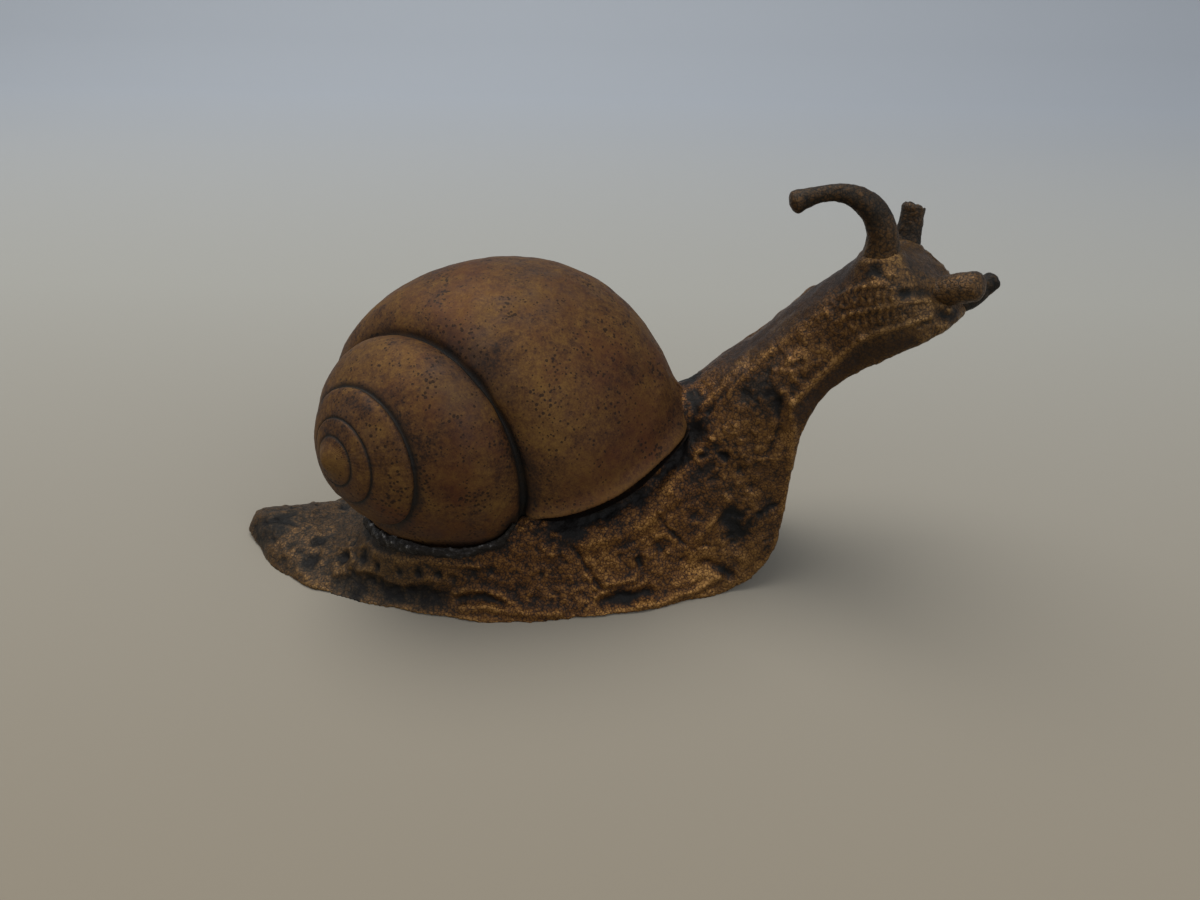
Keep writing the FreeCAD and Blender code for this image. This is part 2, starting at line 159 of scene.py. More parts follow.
def remeshed(node, name, voxel, smoothing):
    # A dense copy of a casting, its sharp edges softened as a casting's are.
    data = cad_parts[node].data.copy()
    piece = add_object(name, data)
    grid = piece.modifiers.new("grid", "REMESH")
    grid.mode = "VOXEL"
    grid.voxel_size = voxel * MM
    soften = piece.modifiers.new("soften", "SMOOTH")
    soften.factor = 0.5
    soften.iterations = smoothing
    dressed = piece.evaluated_get(bpy.context.evaluated_depsgraph_get())
    piece_data = bpy.data.meshes.new_from_object(dressed)
    piece.modifiers.clear()
    piece.data = piece_data
    piece.name = piece.data.name = name
    piece.data.materials.clear()
    piece.data.polygons.foreach_set("use_smooth", [True] * len(piece.data.polygons))
    return piece


def fractal(points, scale, octaves=4, seed=0.0):
    # Smooth noise from about -1 to 1, with details down from the given size.
    shift = Vector((seed * 17.3, seed * 5.1, seed * 9.7))
    return np.array([noise.fractal(Vector(p) / scale + shift, 1.0, 2.0, octaves) for p in points])


def smooth_step(low, high, values):
    t = np.clip((values - low) / (high - low), 0.0, 1.0)
    return t * t * (3.0 - 2.0 * t)


def bell(gap, reach):
    return np.cos(np.clip(gap / reach, 0.0, 1.0) * np.pi / 2) ** 2


def scattered(points, spacing, seed):
    # Points of the surface kept at least the spacing apart.
    order = np.random.default_rng(seed).permutation(len(points))
    cells = {}
    kept = []
    for index in order:
        p = points[index]
        key = tuple((p // spacing).astype(int))
        near = [
            q for dx in (-1, 0, 1) for dy in (-1, 0, 1) for dz in (-1, 0, 1)
            for q in cells.get((key[0] + dx, key[1] + dy, key[2] + dz), ())
        ]
        if all(np.dot(p - q, p - q) > spacing * spacing for q in near):
            cells.setdefault(key, []).append(p)
            kept.append(p)
    return np.array(kept)


def point_tree(points):
    tree = KDTree(len(points))
    for index, point in enumerate(points):
        tree.insert(point, index)
    tree.balance()
    return tree


def cell_distances(points, seeds):
    # Distance of each point to its own cell's middle, and how far it is from the cell's border.
    tree = point_tree(seeds)
    found = [tree.find_n(p, 2) for p in points]
    own, other = (np.array([pair[k][2] for pair in found]) for k in (0, 1))
    return own, other - own


def distance(points, place):
    return np.linalg.norm(points - place, axis=1)


def unit(vectors):
    return vectors / np.maximum(np.linalg.norm(vectors, axis=1), 1e-6)[:, None]


def line_distance(points, line):
    best = np.full(len(points), 1e9)
    for a, b in zip(line, line[1:]):
        a, b = np.array(a), np.array(b)
        d = b - a
        t = np.clip(((points - a) @ d) / max(d @ d, 1e-9), 0.0, 1.0)
        gap = np.linalg.norm(points - (a + t[:, None] * d), axis=1)
        best = np.minimum(best, gap)
    return best


def camera_matrix():
    forward = Vector((0, math.cos(CAMERA_TILT), -math.sin(CAMERA_TILT)))
    right = Vector((1, 0, 0))
    up = right.cross(forward)
    turn = Matrix.Rotation(CAMERA_ROLL, 3, "Z")
    basis = Matrix((right, up, -forward)).transposed() @ turn
    matrix = basis.to_4x4()
    matrix.translation = Vector(CAMERA_PLACE) * MM
    return matrix


def add_camera():
    data = bpy.data.cameras.new("camera")
    data.sensor_width = 36.0
    data.lens = FOCAL_PIXELS / IMAGE_WIDTH * data.sensor_width
    data.clip_start = 0.005
    camera = add_object("camera", data)
    camera.matrix_world = camera_matrix()
    bpy.context.scene.camera = camera


def on_surface(tree, pixels):
    # Places on a piece that lie behind the given pixels of the photograph.
    basis = camera_matrix()
    origin = Vector(CAMERA_PLACE)
    found = []
    for x, y in pixels:
        ray = Vector(((x - IMAGE_WIDTH / 2) / FOCAL_PIXELS, -(y - IMAGE_HEIGHT / 2) / FOCAL_PIXELS, -1.0))
        ray = (basis.to_3x3() @ ray).normalized()
        place = tree.ray_cast(origin, ray)[0]
        if place is not None:
            found.append(np.array(place))
    return found


def surface_tree(piece):
    points = [Vector(p) for p in places(piece)]
    return BVHTree.FromPolygons(points, [tuple(f.vertices) for f in piece.data.polygons])


# Shell geometry
def growth(angle, rates):
    return np.exp(rates[0] * angle + rates[1] * angle * angle)


def suture(angle):
    radius = SUTURE_RADIUS * growth(angle, SUTURE_RADIUS_GROWTH)
    return radius, SUTURE_LEVEL * growth(angle, SUTURE_LEVEL_GROWTH)


def spire_radius(angle, level):
    # The bulge of a whorl fades away in the first turns, which makes a smooth tip.
    r0, z0 = suture(angle)
    r1, z1 = suture(angle + TURN)
    t = np.clip((level - z0) / (z1 - z0), 0.0, 1.0)
    arc = np.maximum(1.0 - (2.0 * t - 1.0) ** 2, 0.0)
    share = BULGE_SHARE * smooth_step(-4.4 * TURN, -3.3 * TURN, np.asarray(angle))
    return r0 + (r1 - r0) * t + share * np.hypot(r1 - r0, z1 - z0) * arc


def whorl_radius(angle, level):
    r0, z0 = suture(angle)
    widest = WHORL_RADIUS * growth(angle, WHORL_RADIUS_GROWTH)
    middle = z0 + WHORL_DROP * np.exp(WHORL_DROP_GROWTH * angle)
    t = np.clip((level - z0) / (middle - z0), 0.0, 1.0)
    upper = r0 + (widest - r0) * np.sqrt(np.maximum(1.0 - (1.0 - t) ** 2, 0.0))
    t = np.clip((level - middle) / (SHELL_LENGTH - middle), 0.0, 1.0)
    lower = widest * np.maximum(1.0 - t ** BASE_POWER, 0.0) ** (1.0 / BASE_POWER)
    return np.where(level < middle, upper, lower)


def coil_radius(angle, level):
    r_end, z_end = suture(0.0)
    share = smooth_step(-TURN, CLOSING_ANGLE - TURN, angle)
    near = min(angle, CLOSING_ANGLE - TURN)
    fade = np.exp((z_end - level) / (z_end * 0.17))
    below = whorl_radius(0.0, level) + (spire_radius(near, z_end) - r_end) * fade
    start = np.where(level < z_end, spire_radius(near, level), below)
    return (1.0 - share) * start + share * whorl_radius(angle, level)


def shell_axes():
    axis = np.array((
        math.cos(SHELL_PITCH) * math.cos(SHELL_HEADING),
        math.cos(SHELL_PITCH) * math.sin(SHELL_HEADING),
        math.sin(SHELL_PITCH),
    ))
    up = np.array((0, 0, 1.0)) - axis * axis[2]
    up /= np.linalg.norm(up)
    return up, np.cross(axis, up), axis


def shell_points(angle, radius, level):
    up, side, axis = shell_axes()
    phase = SHELL_PHASE + angle
    turned = math.cos(phase) * up + math.sin(phase) * side
    return np.array(APEX) + np.outer(radius, turned) + np.outer(level, axis)


def seat_height(points):
    # Height of the seat's surface under each point.
    x = (points[:, 0] - BODY_FORWARD_SHIFT) / SEAT_LENGTH
    y = (points[:, 1] - BODY_SIDE_SHIFT) / FOOT_HALF_WIDTH
    forward = [row[0] for row in SEAT_SHARES]
    near, middle, far = (np.interp(x, forward, [row[i] for row in SEAT_SHARES]) for i in (1, 2, 3))
    low = near + (middle - near) * smooth_step(-0.85, 0.08, y)
    return SEAT_HEIGHT * (low + (far - middle) * smooth_step(0.08, 1.0, y))


# The spire stands a little higher than a straight axis gives
SPIRE_LIFT, LIFT_FULL_LEVEL, LIFT_END_LEVEL = 1.35, 5.0, 18.0
RISEN_SPAN = (-13.0, -21.0)
STATIONS = 560
SPIRE_TURNS = 5
BAND_ROWS = 26
DOME_ROWS = 200


class Grid:
    # Vertices by key, and the faces between them.
    def __init__(self):
        self.vertices = []
        self.faces = []
        self.index = {}

    def put(self, key, point):
        self.index[key] = len(self.vertices)
        self.vertices.append(point)

    def face(self, *keys):
        corners = list(dict.fromkeys(self.index[key] for key in keys))
        if len(corners) > 2:
            self.faces.append(corners)


def add_bands(grid, angles):
    # Rows of points across each band of the coil, which share their edges with the next turn.
    spread = (1.0 - np.cos(np.pi * np.arange(BAND_ROWS + 1) / BAND_ROWS)) / 2.0
    total = len(angles) - 1
    base = total - STATIONS
    z_end = suture(0.0)[1]
    for i, angle in enumerate(angles):
        radius, level = suture(angle)
        grid.put((i, 0), shell_points(angle, [radius], [level])[0])
    for i, angle in enumerate(angles):
        low = suture(angle)[1]
        high = z_end if i >= base else suture(angle + TURN)[1]
        level = low + (high - low) * spread
        radius = coil_radius(angle, level) if i >= base else spire_radius(angle, level)
        row = shell_points(angle, radius, level)
        for j in range(1, BAND_ROWS):
            grid.put((i, j), row[j])
        if i < base:
            grid.index[(i, BAND_ROWS)] = grid.index[(i + STATIONS, 0)]
        elif i < total:
            grid.put((i, BAND_ROWS), row[-1])
        else:
            grid.index[(i, BAND_ROWS)] = grid.index[(i, 0)]
    for i in range(total):
        for j in range(BAND_ROWS):
            grid.face((i, j), (i, j + 1), (i + 1, j + 1), (i + 1, j))


def add_dome(grid, angles):
    # The rounded base of the last whorl, from its upper ring to its pole.
    base = len(angles) - 1 - STATIONS
    steps = np.sin(np.pi / 2 * np.arange(1, DOME_ROWS) / DOME_ROWS)
    z_end = suture(0.0)[1]
    level = z_end + (SHELL_LENGTH - z_end) * steps
    for i in range(STATIONS):
        angle = angles[base + i]
        grid.index[("d", i, 0)] = grid.index[(base + i, BAND_ROWS)]
        for j, point in enumerate(shell_points(angle, coil_radius(angle, level), level), 1):
            grid.put(("d", i, j), point)
    grid.put("pole", shell_points(0.0, [0.0], [SHELL_LENGTH])[0])
    for i in range(STATIONS):
        k = (i + 1) % STATIONS
        for j in range(DOME_ROWS - 1):
            grid.face(("d", i, j), ("d", i, j + 1), ("d", k, j + 1), ("d", k, j))
        grid.face(("d", i, DOME_ROWS - 1), "pole", ("d", k, DOME_ROWS - 1))


def add_tip(grid, angles):
    grid.put("tip", shell_points(0.0, [0.0], [suture(angles[0])[1] * 0.6])[0])
    for i in range(STATIONS):
        grid.face((i, 0), (i + 1, 0), "tip")
    for j in range(BAND_ROWS):
        grid.face((0, j + 1), (0, j), "tip")


def shell_grid():
    total = STATIONS * SPIRE_TURNS
    angles = [TURN * (i - total) / STATIONS for i in range(total + 1)]
    grid = Grid()
    add_bands(grid, angles)
    add_dome(grid, angles)
    add_tip(grid, angles)
    return np.array(grid.vertices), grid.faces


def risen(points, share):
    # How much the solder's rear end and the body round it rise with the spire.
    return share * SPIRE_LIFT * smooth_step(*RISEN_SPAN, points[:, 0])


def lifted(points):
    level = (points - np.array(APEX)) @ shell_axes()[2]
    return points + np.outer(SPIRE_LIFT * smooth_step(LIFT_END_LEVEL, LIFT_FULL_LEVEL, level), (0, 0, 1.0))


def nearest_on(points, line):
    # Index of the line's sample nearest to each point, and its distance.
    tree = point_tree(line)
    found = [tree.find(p)[1:] for p in points]
    return np.array([f[0] for f in found]), np.array([f[1] for f in found])


def divided(line, count):
    steps = np.linspace(0, 1, count)[:, None]
    line = np.asarray(line, float)
    return np.vstack([a + (b - a) * steps for a, b in zip(line, line[1:])])


# Lip of the shell: pixels of the photograph along its near side, then places on its far side
LIP_PIXELS = (
    (519, 514), (532, 515), (546, 514), (568, 511), (585, 506), (600, 500), (617, 491), (632, 480),
    (653, 463), (666, 450), (676, 436), (684, 420), (687, 405), (685, 392),
)
LIP_FAR = ((17, -1, 24), (16.5, 4, 23), (14, 9, 21), (9.5, 14, 18), (4, 17.5, 15.5), (-3, 19.5, 13))
LIP_STEPS = 24
LIP_RISE, LIP_WIDTH, LIP_UNDERCUT = 0.70, 1.10, 1.7
# Foremost place of the lip, where it rises more and swells behind
LIP_NOSE = (16.8, -4.5, 24.5)
NOSE_REACH, NOSE_RISE, NOSE_WIDTH, NOSE_SWELLING, NOSE_HOLLOW = 12.0, 0.9, 1.3, 0.55, 0.30
# Groove along the suture, at its full size this far from the tip
SEAM_SAMPLES = 4000
SEAM_DEPTH, SEAM_WIDTH, SEAM_UNEVENNESS, FULL_SEAM_RADIUS = 0.33, 0.48, 0.18, 15.0
# Unevenness of the shell's cast surface, with noise of a size, octaves and seed, and its nub at the tip
UNEVEN_NOISE, WAVE_NOISE, GRAIN_NOISE = (3.0, 3, 9.0), (8.0, 3, 3.0), (1.7, 3, 4.0)
SHELL_WAVES, SHELL_GRAIN, WRINKLE_HEIGHT, WRINKLES_PER_RADIAN = 0.15, 0.045, 0.010, 60.0
TIP_RADIUS, TIP_LEVEL, TIP_RISE = 1.5, 6.0, 0.75
# How far the shell may reach into its seat
SEAT_DEPTH = 1.8
# Places where the shell is darker or lighter, the lighter ones partly a painted highlight, and where it is
# redder: reach and amount, then pixels
SHELL_TONES = (
    (3.2, -1.4, (500, 360)), (2.4, -1.1, (512, 395)), (2.0, -0.5, (450, 345)), (3.2, -0.7, (448, 470)),
    (1.5, -0.9, (458, 492)), (5.5, -0.5, (350, 310)), (5.0, -0.35, (400, 268), (620, 370)),
    (3.5, -0.35, (390, 350)), (2.6, -0.4, (330, 420)), (5.5, 0.3, (465, 300)), (5.0, 0.2, (520, 300)),
    (3.0, -0.8, (672, 415)), (2.5, -0.4, (652, 437)), (4.5, 0.7, (545, 395)), (3.5, 0.7, (535, 440)),
    (5.0, 0.3, (575, 320)), (3.6, 0.45, (430, 395)), (3.0, 0.3, (350, 370), (600, 490)),
    (3.0, 0.5, (545, 510)), (4.0, -0.4, (480, 520)), (2.4, 0.4, (380, 430)), (4.0, 0.1, (410, 535)),
)
SHELL_REDS = (
    (8.0, 0.9, (640, 430)), (6.0, 0.7, (600, 470)), (5.0, 0.3, (560, 300)), (5.0, 0.5, (450, 480)),
    (5.0, 0.7, (400, 520)), (4.0, 0.5, (350, 490)), (5.0, 0.6, (660, 360)), (4.0, 0.3, (590, 400)),
)


def solder_places():
    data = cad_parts["solder_bead"].data
    return [np.array(v.co) / MM for v in data.vertices]


def outward_normals(piece, out):
    around = normals(piece)
    if np.median(np.sum(out * around, axis=1)) < 0:
        around = -around
        piece.data.flip_normals()
    return around


def seam_around(vertices, level, apex):
    # For each vertex, its distance from the suture, and what the suture is like there.
    seam = SimpleNamespace()
    turns = np.linspace(-SPIRE_TURNS * TURN, 0.0, SEAM_SAMPLES)
    line = lifted(np.array([shell_points(a, [suture(a)[0]], [suture(a)[1]])[0] for a in turns]))
    near, seam.gap = nearest_on(vertices, line)
    seam.angle = turns[near]
    seam.strength = smooth_step(-4.1 * TURN, -3.2 * TURN, seam.angle)
    seam.scale = np.clip(distance(line[near], apex) / FULL_SEAM_RADIUS, 0.35, 1.0)
    seam.outer = smooth_step(-0.25, 0.35, level - suture(turns)[1][near])
    return seam


def cast_surface(vertices, out, seam, uneven):
    # Height over the smooth form: the groove, then waves, grain and faint wrinkles.
    width = seam.scale * (SEAM_WIDTH + SEAM_UNEVENNESS * uneven)
    height = -SEAM_DEPTH * seam.scale * seam.strength * np.exp(-(seam.gap / width) ** 2)
    height += SHELL_WAVES * fractal(vertices, *WAVE_NOISE) + SHELL_GRAIN * fractal(vertices, *GRAIN_NOISE)
    up, side, _ = shell_axes()
    angle = np.arctan2(out @ side, out @ up)
    wrinkle = np.sin(WRINKLES_PER_RADIAN * angle + 5.0 * fractal(vertices, 6.0, 3, 1.0))
    return height + WRINKLE_HEIGHT * wrinkle * smooth_step(0.0, 0.5, fractal(vertices, 7.0, 2, 2.0))


def lip_around(tree, vertices, around):
    # The lip's path, and for each vertex how much it belongs to it and how far it is above its edge.
    lip = SimpleNamespace()
    far = [np.array(tree.find_nearest(Vector(p))[0]) for p in LIP_FAR]
    lip.path = divided(on_surface(tree, LIP_PIXELS) + far, LIP_STEPS)
    last = len(lip.path) - 1
    near, gap = nearest_on(vertices, lip.path)
    ahead = lip.path[np.minimum(near + 1, last)] - lip.path[np.maximum(near - 1, 0)]
    across = unit(np.cross(around, ahead))
    lip.above = np.sum((vertices - lip.path[near]) * across, axis=1)
    sample = near.astype(float)
    lip.near = smooth_step(0, 30, sample) * smooth_step(last, last - 39, sample) * smooth_step(8.0, 5.0, gap)
    lip.nose = bell(distance(lip.path[near], np.array(LIP_NOSE)), NOSE_REACH)
    return lip


def lip_height(lip):
    width = LIP_WIDTH + NOSE_WIDTH * lip.nose
    flare = (LIP_RISE + NOSE_RISE * lip.nose) * np.exp(-(np.maximum(lip.above, 0.0) / width) ** 2)
    flare += NOSE_SWELLING * lip.nose * bell(np.abs(lip.above - 5.0), 7.0)
    flare -= NOSE_HOLLOW * lip.nose * bell(np.abs(lip.above - 4.2), 2.4)
    under = LIP_UNDERCUT * smooth_step(0.0, -1.0, lip.above) * smooth_step(-4.0, -2.5, lip.above)
    return lip.near * (flare - under)


def shell_patina(piece, vertices, apex, seam, lip, uneven):
    # Where the suture's line and its shade, the lip's worn edge, the painted shade under the lip and beside
    # the solder, and the tip are.
    late = smooth_step(-1.2, -0.2, seam.angle)
    band = seam.scale * (0.36 + 0.50 * seam.outer) * (1.0 + 1.1 * late) * (1.0 + 0.45 * uneven)
    fading = np.exp(-(seam.gap / (2.8 * seam.scale)) ** 2)
    # Painted shade on the shell below its lip and beside the solder
    shade_under_lip = lip.near * smooth_step(0.0, -0.6, lip.above)
    _, solder_gap = nearest_on(vertices, solder_places())
    set_attributes(
        piece,
        seam=seam.strength * np.exp(-(seam.gap / band) ** 2),
        seam_shade=seam.strength * fading * (0.7 + 0.6 * uneven),
        lip=lip.near * np.exp(-((lip.above - 0.25) / 0.34) ** 2),
        under=np.maximum(shade_under_lip, 0.9 * bell(solder_gap, 1.3)),
        tip=np.exp(-(distance(vertices, apex) / 2.0) ** 2),
    )


def shell_spots(piece, tree, vertices, uneven):
    # Darker and lighter spots, the lighter ones partly a painted highlight, and redder spots
    for name, spots in (("tone_spots_and_highlight", SHELL_TONES), ("redness", SHELL_REDS)):
        total = np.zeros(len(vertices))
        for reach, amount, *pixels in spots:
            for place in on_surface(tree, pixels):
                total += amount * bell(distance(vertices, place) + 1.2 * uneven, reach)
        set_attributes(piece, **{name: total})


def build_shell():
    straight, faces = shell_grid()
    vertices = lifted(straight)
    piece = new_object("coiled_shell", vertices, faces)
    axis = shell_axes()[2]
    out = straight - np.array(APEX)
    level = out @ axis
    out -= np.outer(level, axis)
    around = outward_normals(piece, out)
    tree = surface_tree(piece)

    apex = lifted(np.array([APEX]))[0]
    uneven = fractal(vertices, *UNEVEN_NOISE)
    seam = seam_around(vertices, level, apex)
    lip = lip_around(tree, vertices, around)
    height = cast_surface(vertices, out, seam, uneven) + lip_height(lip)
    tip = np.exp(-(np.linalg.norm(out, axis=1) / TIP_RADIUS) ** 2) * (level < TIP_LEVEL)
    moved = vertices + around * height[:, None] - np.outer(TIP_RISE * tip, axis)
    moved[:, 2] = np.maximum(moved[:, 2], seat_height(moved) - SEAT_DEPTH)
    set_places(piece, moved)
    shell_patina(piece, vertices, apex, seam, lip, uneven)
    shell_spots(piece, tree, vertices, uneven)
    return piece, lip.path


# Features of the near side, by pixels of the photograph: points, half width, height
BODY_LINES = (
    ((340, 597), (369, 604), (394, 610), (419, 615), (442, 616), (463, 608), (486, 606), (511, 612),
     (560, 613), 0.75, 0.42),
    ((455, 593), (470, 589), (486, 590), (503, 598), (519, 608), 0.65, 0.36),
    ((458, 600), (484, 597), (500, 604), 0.8, -0.28),
    ((341, 585), (368, 590), (405, 596), (440, 598), 2.2, -0.60),
    ((348, 574), (362, 579), (380, 584), 1.3, -0.35),
    ((299, 571), (316, 583), (330, 593), 1.1, 0.35),
    ((251, 519), (262, 515), (282, 513), 1.0, 0.25),
    ((262, 523), (280, 517), (294, 514), 0.6, -0.25),
    ((336, 547), (351, 549), (354, 561), (347, 573), (335, 574), 0.45, 0.28),
    ((352, 549), (370, 549), (376, 558), (372, 570), (356, 572), 0.45, 0.28),
    ((376, 558), (391, 563), (408, 566), (428, 563), (452, 565), (480, 566), 0.5, 0.26),
    ((386, 580), (402, 585), (412, 583), 0.5, 0.22),
    ((604, 603), (620, 597), (634, 598), (648, 592), 1.1, -0.60),
    ((636, 604), (658, 603), (676, 596), (692, 591), (719, 576), 0.8, 0.45),
    ((606, 584), (620, 582), (634, 580), 0.7, 0.30),
    ((575, 550), (586, 568), (601, 590), 0.40, -0.40),
    ((638, 560), (644, 574), (642, 586), 0.30, -0.22),
    ((656, 513), (668, 530), (682, 542), (692, 549), (707, 545), 0.32, -0.34),
    ((658, 514), (643, 525), (626, 534), (606, 540), (580, 545), 1.3, 0.35),
    ((728, 501), (713, 522), (698, 537), 0.9, 0.42),
    ((666, 490), (676, 498), (664, 506), 1.2, 0.30),
    ((560, 519), (600, 516), (626, 505), (652, 487), (676, 460), (692, 432), 1.9, -0.95),
    ((728, 514), (737, 526), (735, 540), 2.2, -0.60),
    ((706, 563), (722, 568), (730, 575), 1.0, -0.55),
    ((759, 514), (777, 505), 0.5, -0.35),
    ((757, 544), (771, 537), 0.5, -0.35),
    ((745, 560), (755, 550), (762, 540), 1.2, 0.25),
    ((676, 586), (700, 578), (719, 568), 1.6, 0.30),
    ((702, 408), (722, 388), (748, 352), (776, 326), (800, 311), (816, 303), 0.85, 0.42),
    ((722, 401), (740, 380), (756, 364), (770, 352), 0.55, 0.30),
    ((708, 412), (730, 386), (752, 362), 0.35, -0.32),
    ((744, 392), (760, 374), (776, 358), (790, 346), 1.8, -0.50),
    ((792, 404), (812, 383), (834, 364), (862, 338), 0.70, 0.60),
    ((783, 392), (790, 402), (793, 430), (788, 468), 0.9, 0.40),
    ((778, 402), (779, 430), (768, 456), 0.5, -0.35),
    ((862, 338), (880, 332), (905, 325), (930, 316), 0.55, 0.36),
    ((836, 322), (852, 313), (880, 308), (906, 303), (930, 300), 0.40, 0.24),
    ((840, 296), (852, 289), (872, 285), (890, 284), 0.40, 0.24),
    ((905, 293), (925, 292), (940, 296), 0.8, -0.35),
    ((886, 258), (900, 266), (910, 276), 0.9, 0.25),
    ((940, 314), (953, 318), (966, 316), 0.9, -0.45),
)
# Rows of short bars across the cheek: first and last bar, drop, how many
BAR_ROWS = (((847, 289), (893, 287), 16, 7), ((843, 314), (902, 306), 14, 9))
BAR_WIDTH, BAR_RISE = 0.30, 0.24
# Round dimples: radius and depth, then pixels
BODY_DIMPLES = (
    (1.15, 0.55, (344, 557)), (1.0, 0.42, (363, 560), (470, 574)), (1.15, 0.34, (311, 560)),
    (1.1, 0.26, (319, 540)), (0.9, 0.32, (356, 541)), (0.85, 0.40, (376, 567), (419, 574), (438, 574)),
    (0.8, 0.40, (399, 574)), (0.7, 0.22, (383, 544), (620, 556), (540, 575)),
    (0.8, 0.30, (452, 578), (640, 560), (715, 480), (752, 488)), (0.7, 0.20, (410, 590)),
    (0.7, 0.25, (490, 572), (596, 556)), (1.0, 0.25, (288, 546)), (0.9, 0.22, (270, 540)),
    (0.8, 0.22, (299, 552)), (0.8, 0.25, (282, 560), (560, 560)), (0.72, 0.60, (701, 456)),
    (0.78, 0.55, (724, 457)), (0.55, 0.30, (661, 459)), (0.62, 0.50, (875, 271)), (1.25, 0.50, (660, 548)),
    (0.8, 0.28, (684, 560)), (0.7, 0.28, (740, 470)), (1.0, 0.30, (694, 516)), (0.6, 0.25, (850, 268)),
)
# Small knobs: radius and height, then pixels
BODY_KNOBS = (
    (0.5, 0.45, (667, 552)), (0.45, 0.40, (656, 553)), (0.45, 0.35, (470, 574), (591, 580), (596, 589)),
    (0.5, 0.30, (595, 597)),
    (0.6, 0.25, (716, 470), (735, 455), (758, 476), (745, 500), (755, 432), (770, 440)),
    (0.6, 0.28, (748, 462), (738, 484)), (0.6, 0.22, (725, 495), (712, 440), (742, 440), (726, 428)),
)
# Places where the patina is darker (below zero), some of them painted shade under the shell's lip, or more
# worn: reach and amount, then pixels
BODY_TONES = (
    (4.5, -0.45, (268, 525)), (3.0, -0.75, (355, 590), (646, 498)), (3.5, -0.75, (390, 597)),
    (3.0, -0.55, (430, 598)), (1.5, -0.6, (488, 600)), (3.5, -0.85, (570, 524)), (3.2, -0.85, (610, 518)),
    (3.0, -0.6, (680, 462)), (2.2, -1.0, (626, 597), (955, 316)), (3.2, -1.0, (733, 522)),
    (1.8, -1.0, (722, 570)), (1.8, -0.5, (765, 512)), (1.6, -0.6, (766, 540)), (4.0, -0.55, (757, 385)),
    (3.0, -0.5, (770, 405), (578, 532)), (3.0, -0.45, (905, 293)), (2.4, -0.5, (872, 246), (752, 520)),
    (1.8, -0.35, (898, 244)), (0.8, -0.8, (875, 271)), (1.6, -0.2, (855, 262)), (3.0, -0.3, (700, 470)),
    (2.5, 0.35, (345, 562)), (3.0, 0.35, (400, 568), (450, 570)), (2.5, 0.55, (490, 608), (750, 560)),
    (4.0, 0.55, (600, 550)), (3.0, 0.60, (650, 530), (705, 583)), (4.0, 0.60, (700, 560)),
    (1.8, 0.5, (715, 525)), (2.0, 0.55, (740, 365)), (1.4, 0.20, (722, 386)), (2.0, 0.4, (780, 325)),
    (2.4, 0.35, (830, 360)), (2.2, 0.30, (898, 270)), (1.0, -0.9, (701, 456)), (1.0, -0.8, (724, 457)),
    (0.8, -0.6, (661, 459)), (1.5, -0.5, (311, 560), (776, 522)), (1.5, -0.7, (344, 557)),
    (1.3, -0.6, (363, 560)), (1.4, -0.45, (319, 540)), (0.8, -0.4, (399, 574), (419, 574), (438, 574)),
    (0.9, -0.4, (470, 574)), (2.4, -1.1, (697, 404)), (1.8, -0.8, (692, 392)), (2.2, -0.6, (704, 430)),
    (2.6, -0.5, (545, 530)), (2.5, -0.3, (714, 450)), (2.0, -0.6, (768, 545)),
    (3.0, 0.2, (780, 440), (850, 330)), (4.0, 0.3, (800, 350)), (3.0, 0.25, (760, 350)),
    (2.0, 0.3, (900, 250)), (1.6, 0.5, (960, 292)), (3.0, 0.15, (880, 300)), (2.2, 0.35, (790, 435)),
    (3.5, 0.2, (735, 470)), (1.3, 0.5, (798, 397), (812, 383), (823, 373), (836, 362), (850, 349)),
    (1.3, 0.4, (866, 336)), (1.3, 0.3, (890, 329), (912, 322)),
    (1.0, 0.5, (728, 378), (739, 364), (750, 350), (763, 338), (777, 326), (792, 316)),
    (1.0, 0.4, (716, 395), (806, 308)),
)
# How far the features of the far side are shifted, forward and left
FAR_SHIFT = (1.2, 0.6)
# Smooth strip under the neck, painted darker as shadow below its ridge, by pixels, and the swellings that
# carry the stalks and feelers
NECK_UNDERSIDE = ((806, 412), (822, 394), (842, 374), (870, 354), (905, 343), (945, 330))
ROOT_MOUNDS = (
    ((32.4, -7.6, 41.4), 3.6, 0.35), ((38.6, -8.4, 39.0), 2.8, 0.45), ((41.6, -6.3, 36.8), 2.4, 0.3),
)
ROOT_FILLET, FILLET_REACH = 0.75, 0.7
BODY_VOXEL, BODY_SMOOTHING = 0.20, 6
# Lines at least this wide are folds of the flesh, with a soft outline and a smooth skin
BROAD_LINE = 0.65
# Noise of the body's surface: size, octaves, seed
BROAD_NOISE, MIDDLE_NOISE, FINE_NOISE = (12.0, 3, 5.0), (3.2, 4, 6.0), (0.85, 3, 7.0)
SKIN_NOISE, BACK_NOISE, RIM_NOISE = (5.5, 3, 16.0), (4.0, 3, 15.0), (8.0, 2, 8.0)
WARP_SIZE, WARP_AMOUNT, WARP_SEEDS = 2.6, 0.6, (31.0, 32.0, 33.0)
# Cells of the skin: spacing, seed
NET_CELLS, SCALE_CELLS = (1.75, 11), (1.05, 12)
NET_WIDTH, SCALE_WIDTH, PEBBLE_RADIUS = 0.95, 0.62, 0.75
# Creases of the skin: size, seed, sharpness
FOLD_CREASES, VEIN_CREASES = (4.2, 8.0, 2.6), (1.7, 9.0, 2.2)
# Parts of the body from tail to head: where each begins, and where it is full
TAIL_SPAN, CHEST_SPAN, NECK_SPAN, HEAD_SPAN = (-8.0, -24.0), (12.0, 16.0), (13.0, 20.0), (28.0, 34.0)
# Reach of the painted shade and smoother skin beside the lip and the solder, and the groove under the lip
LIP_SHADE_REACH, SOLDER_SHADE_REACH = 3.6, 1.8
LIP_GROOVE, GROOVE_REACH = 0.9, 1.8
TAIL_SHORTENING, TAIL_TIP_SPAN = 0.7, (-36.0, -46.5)
BODY_RELIEF_ROUNDS, SMALL_RELIEF_ROUNDS = 40, 30


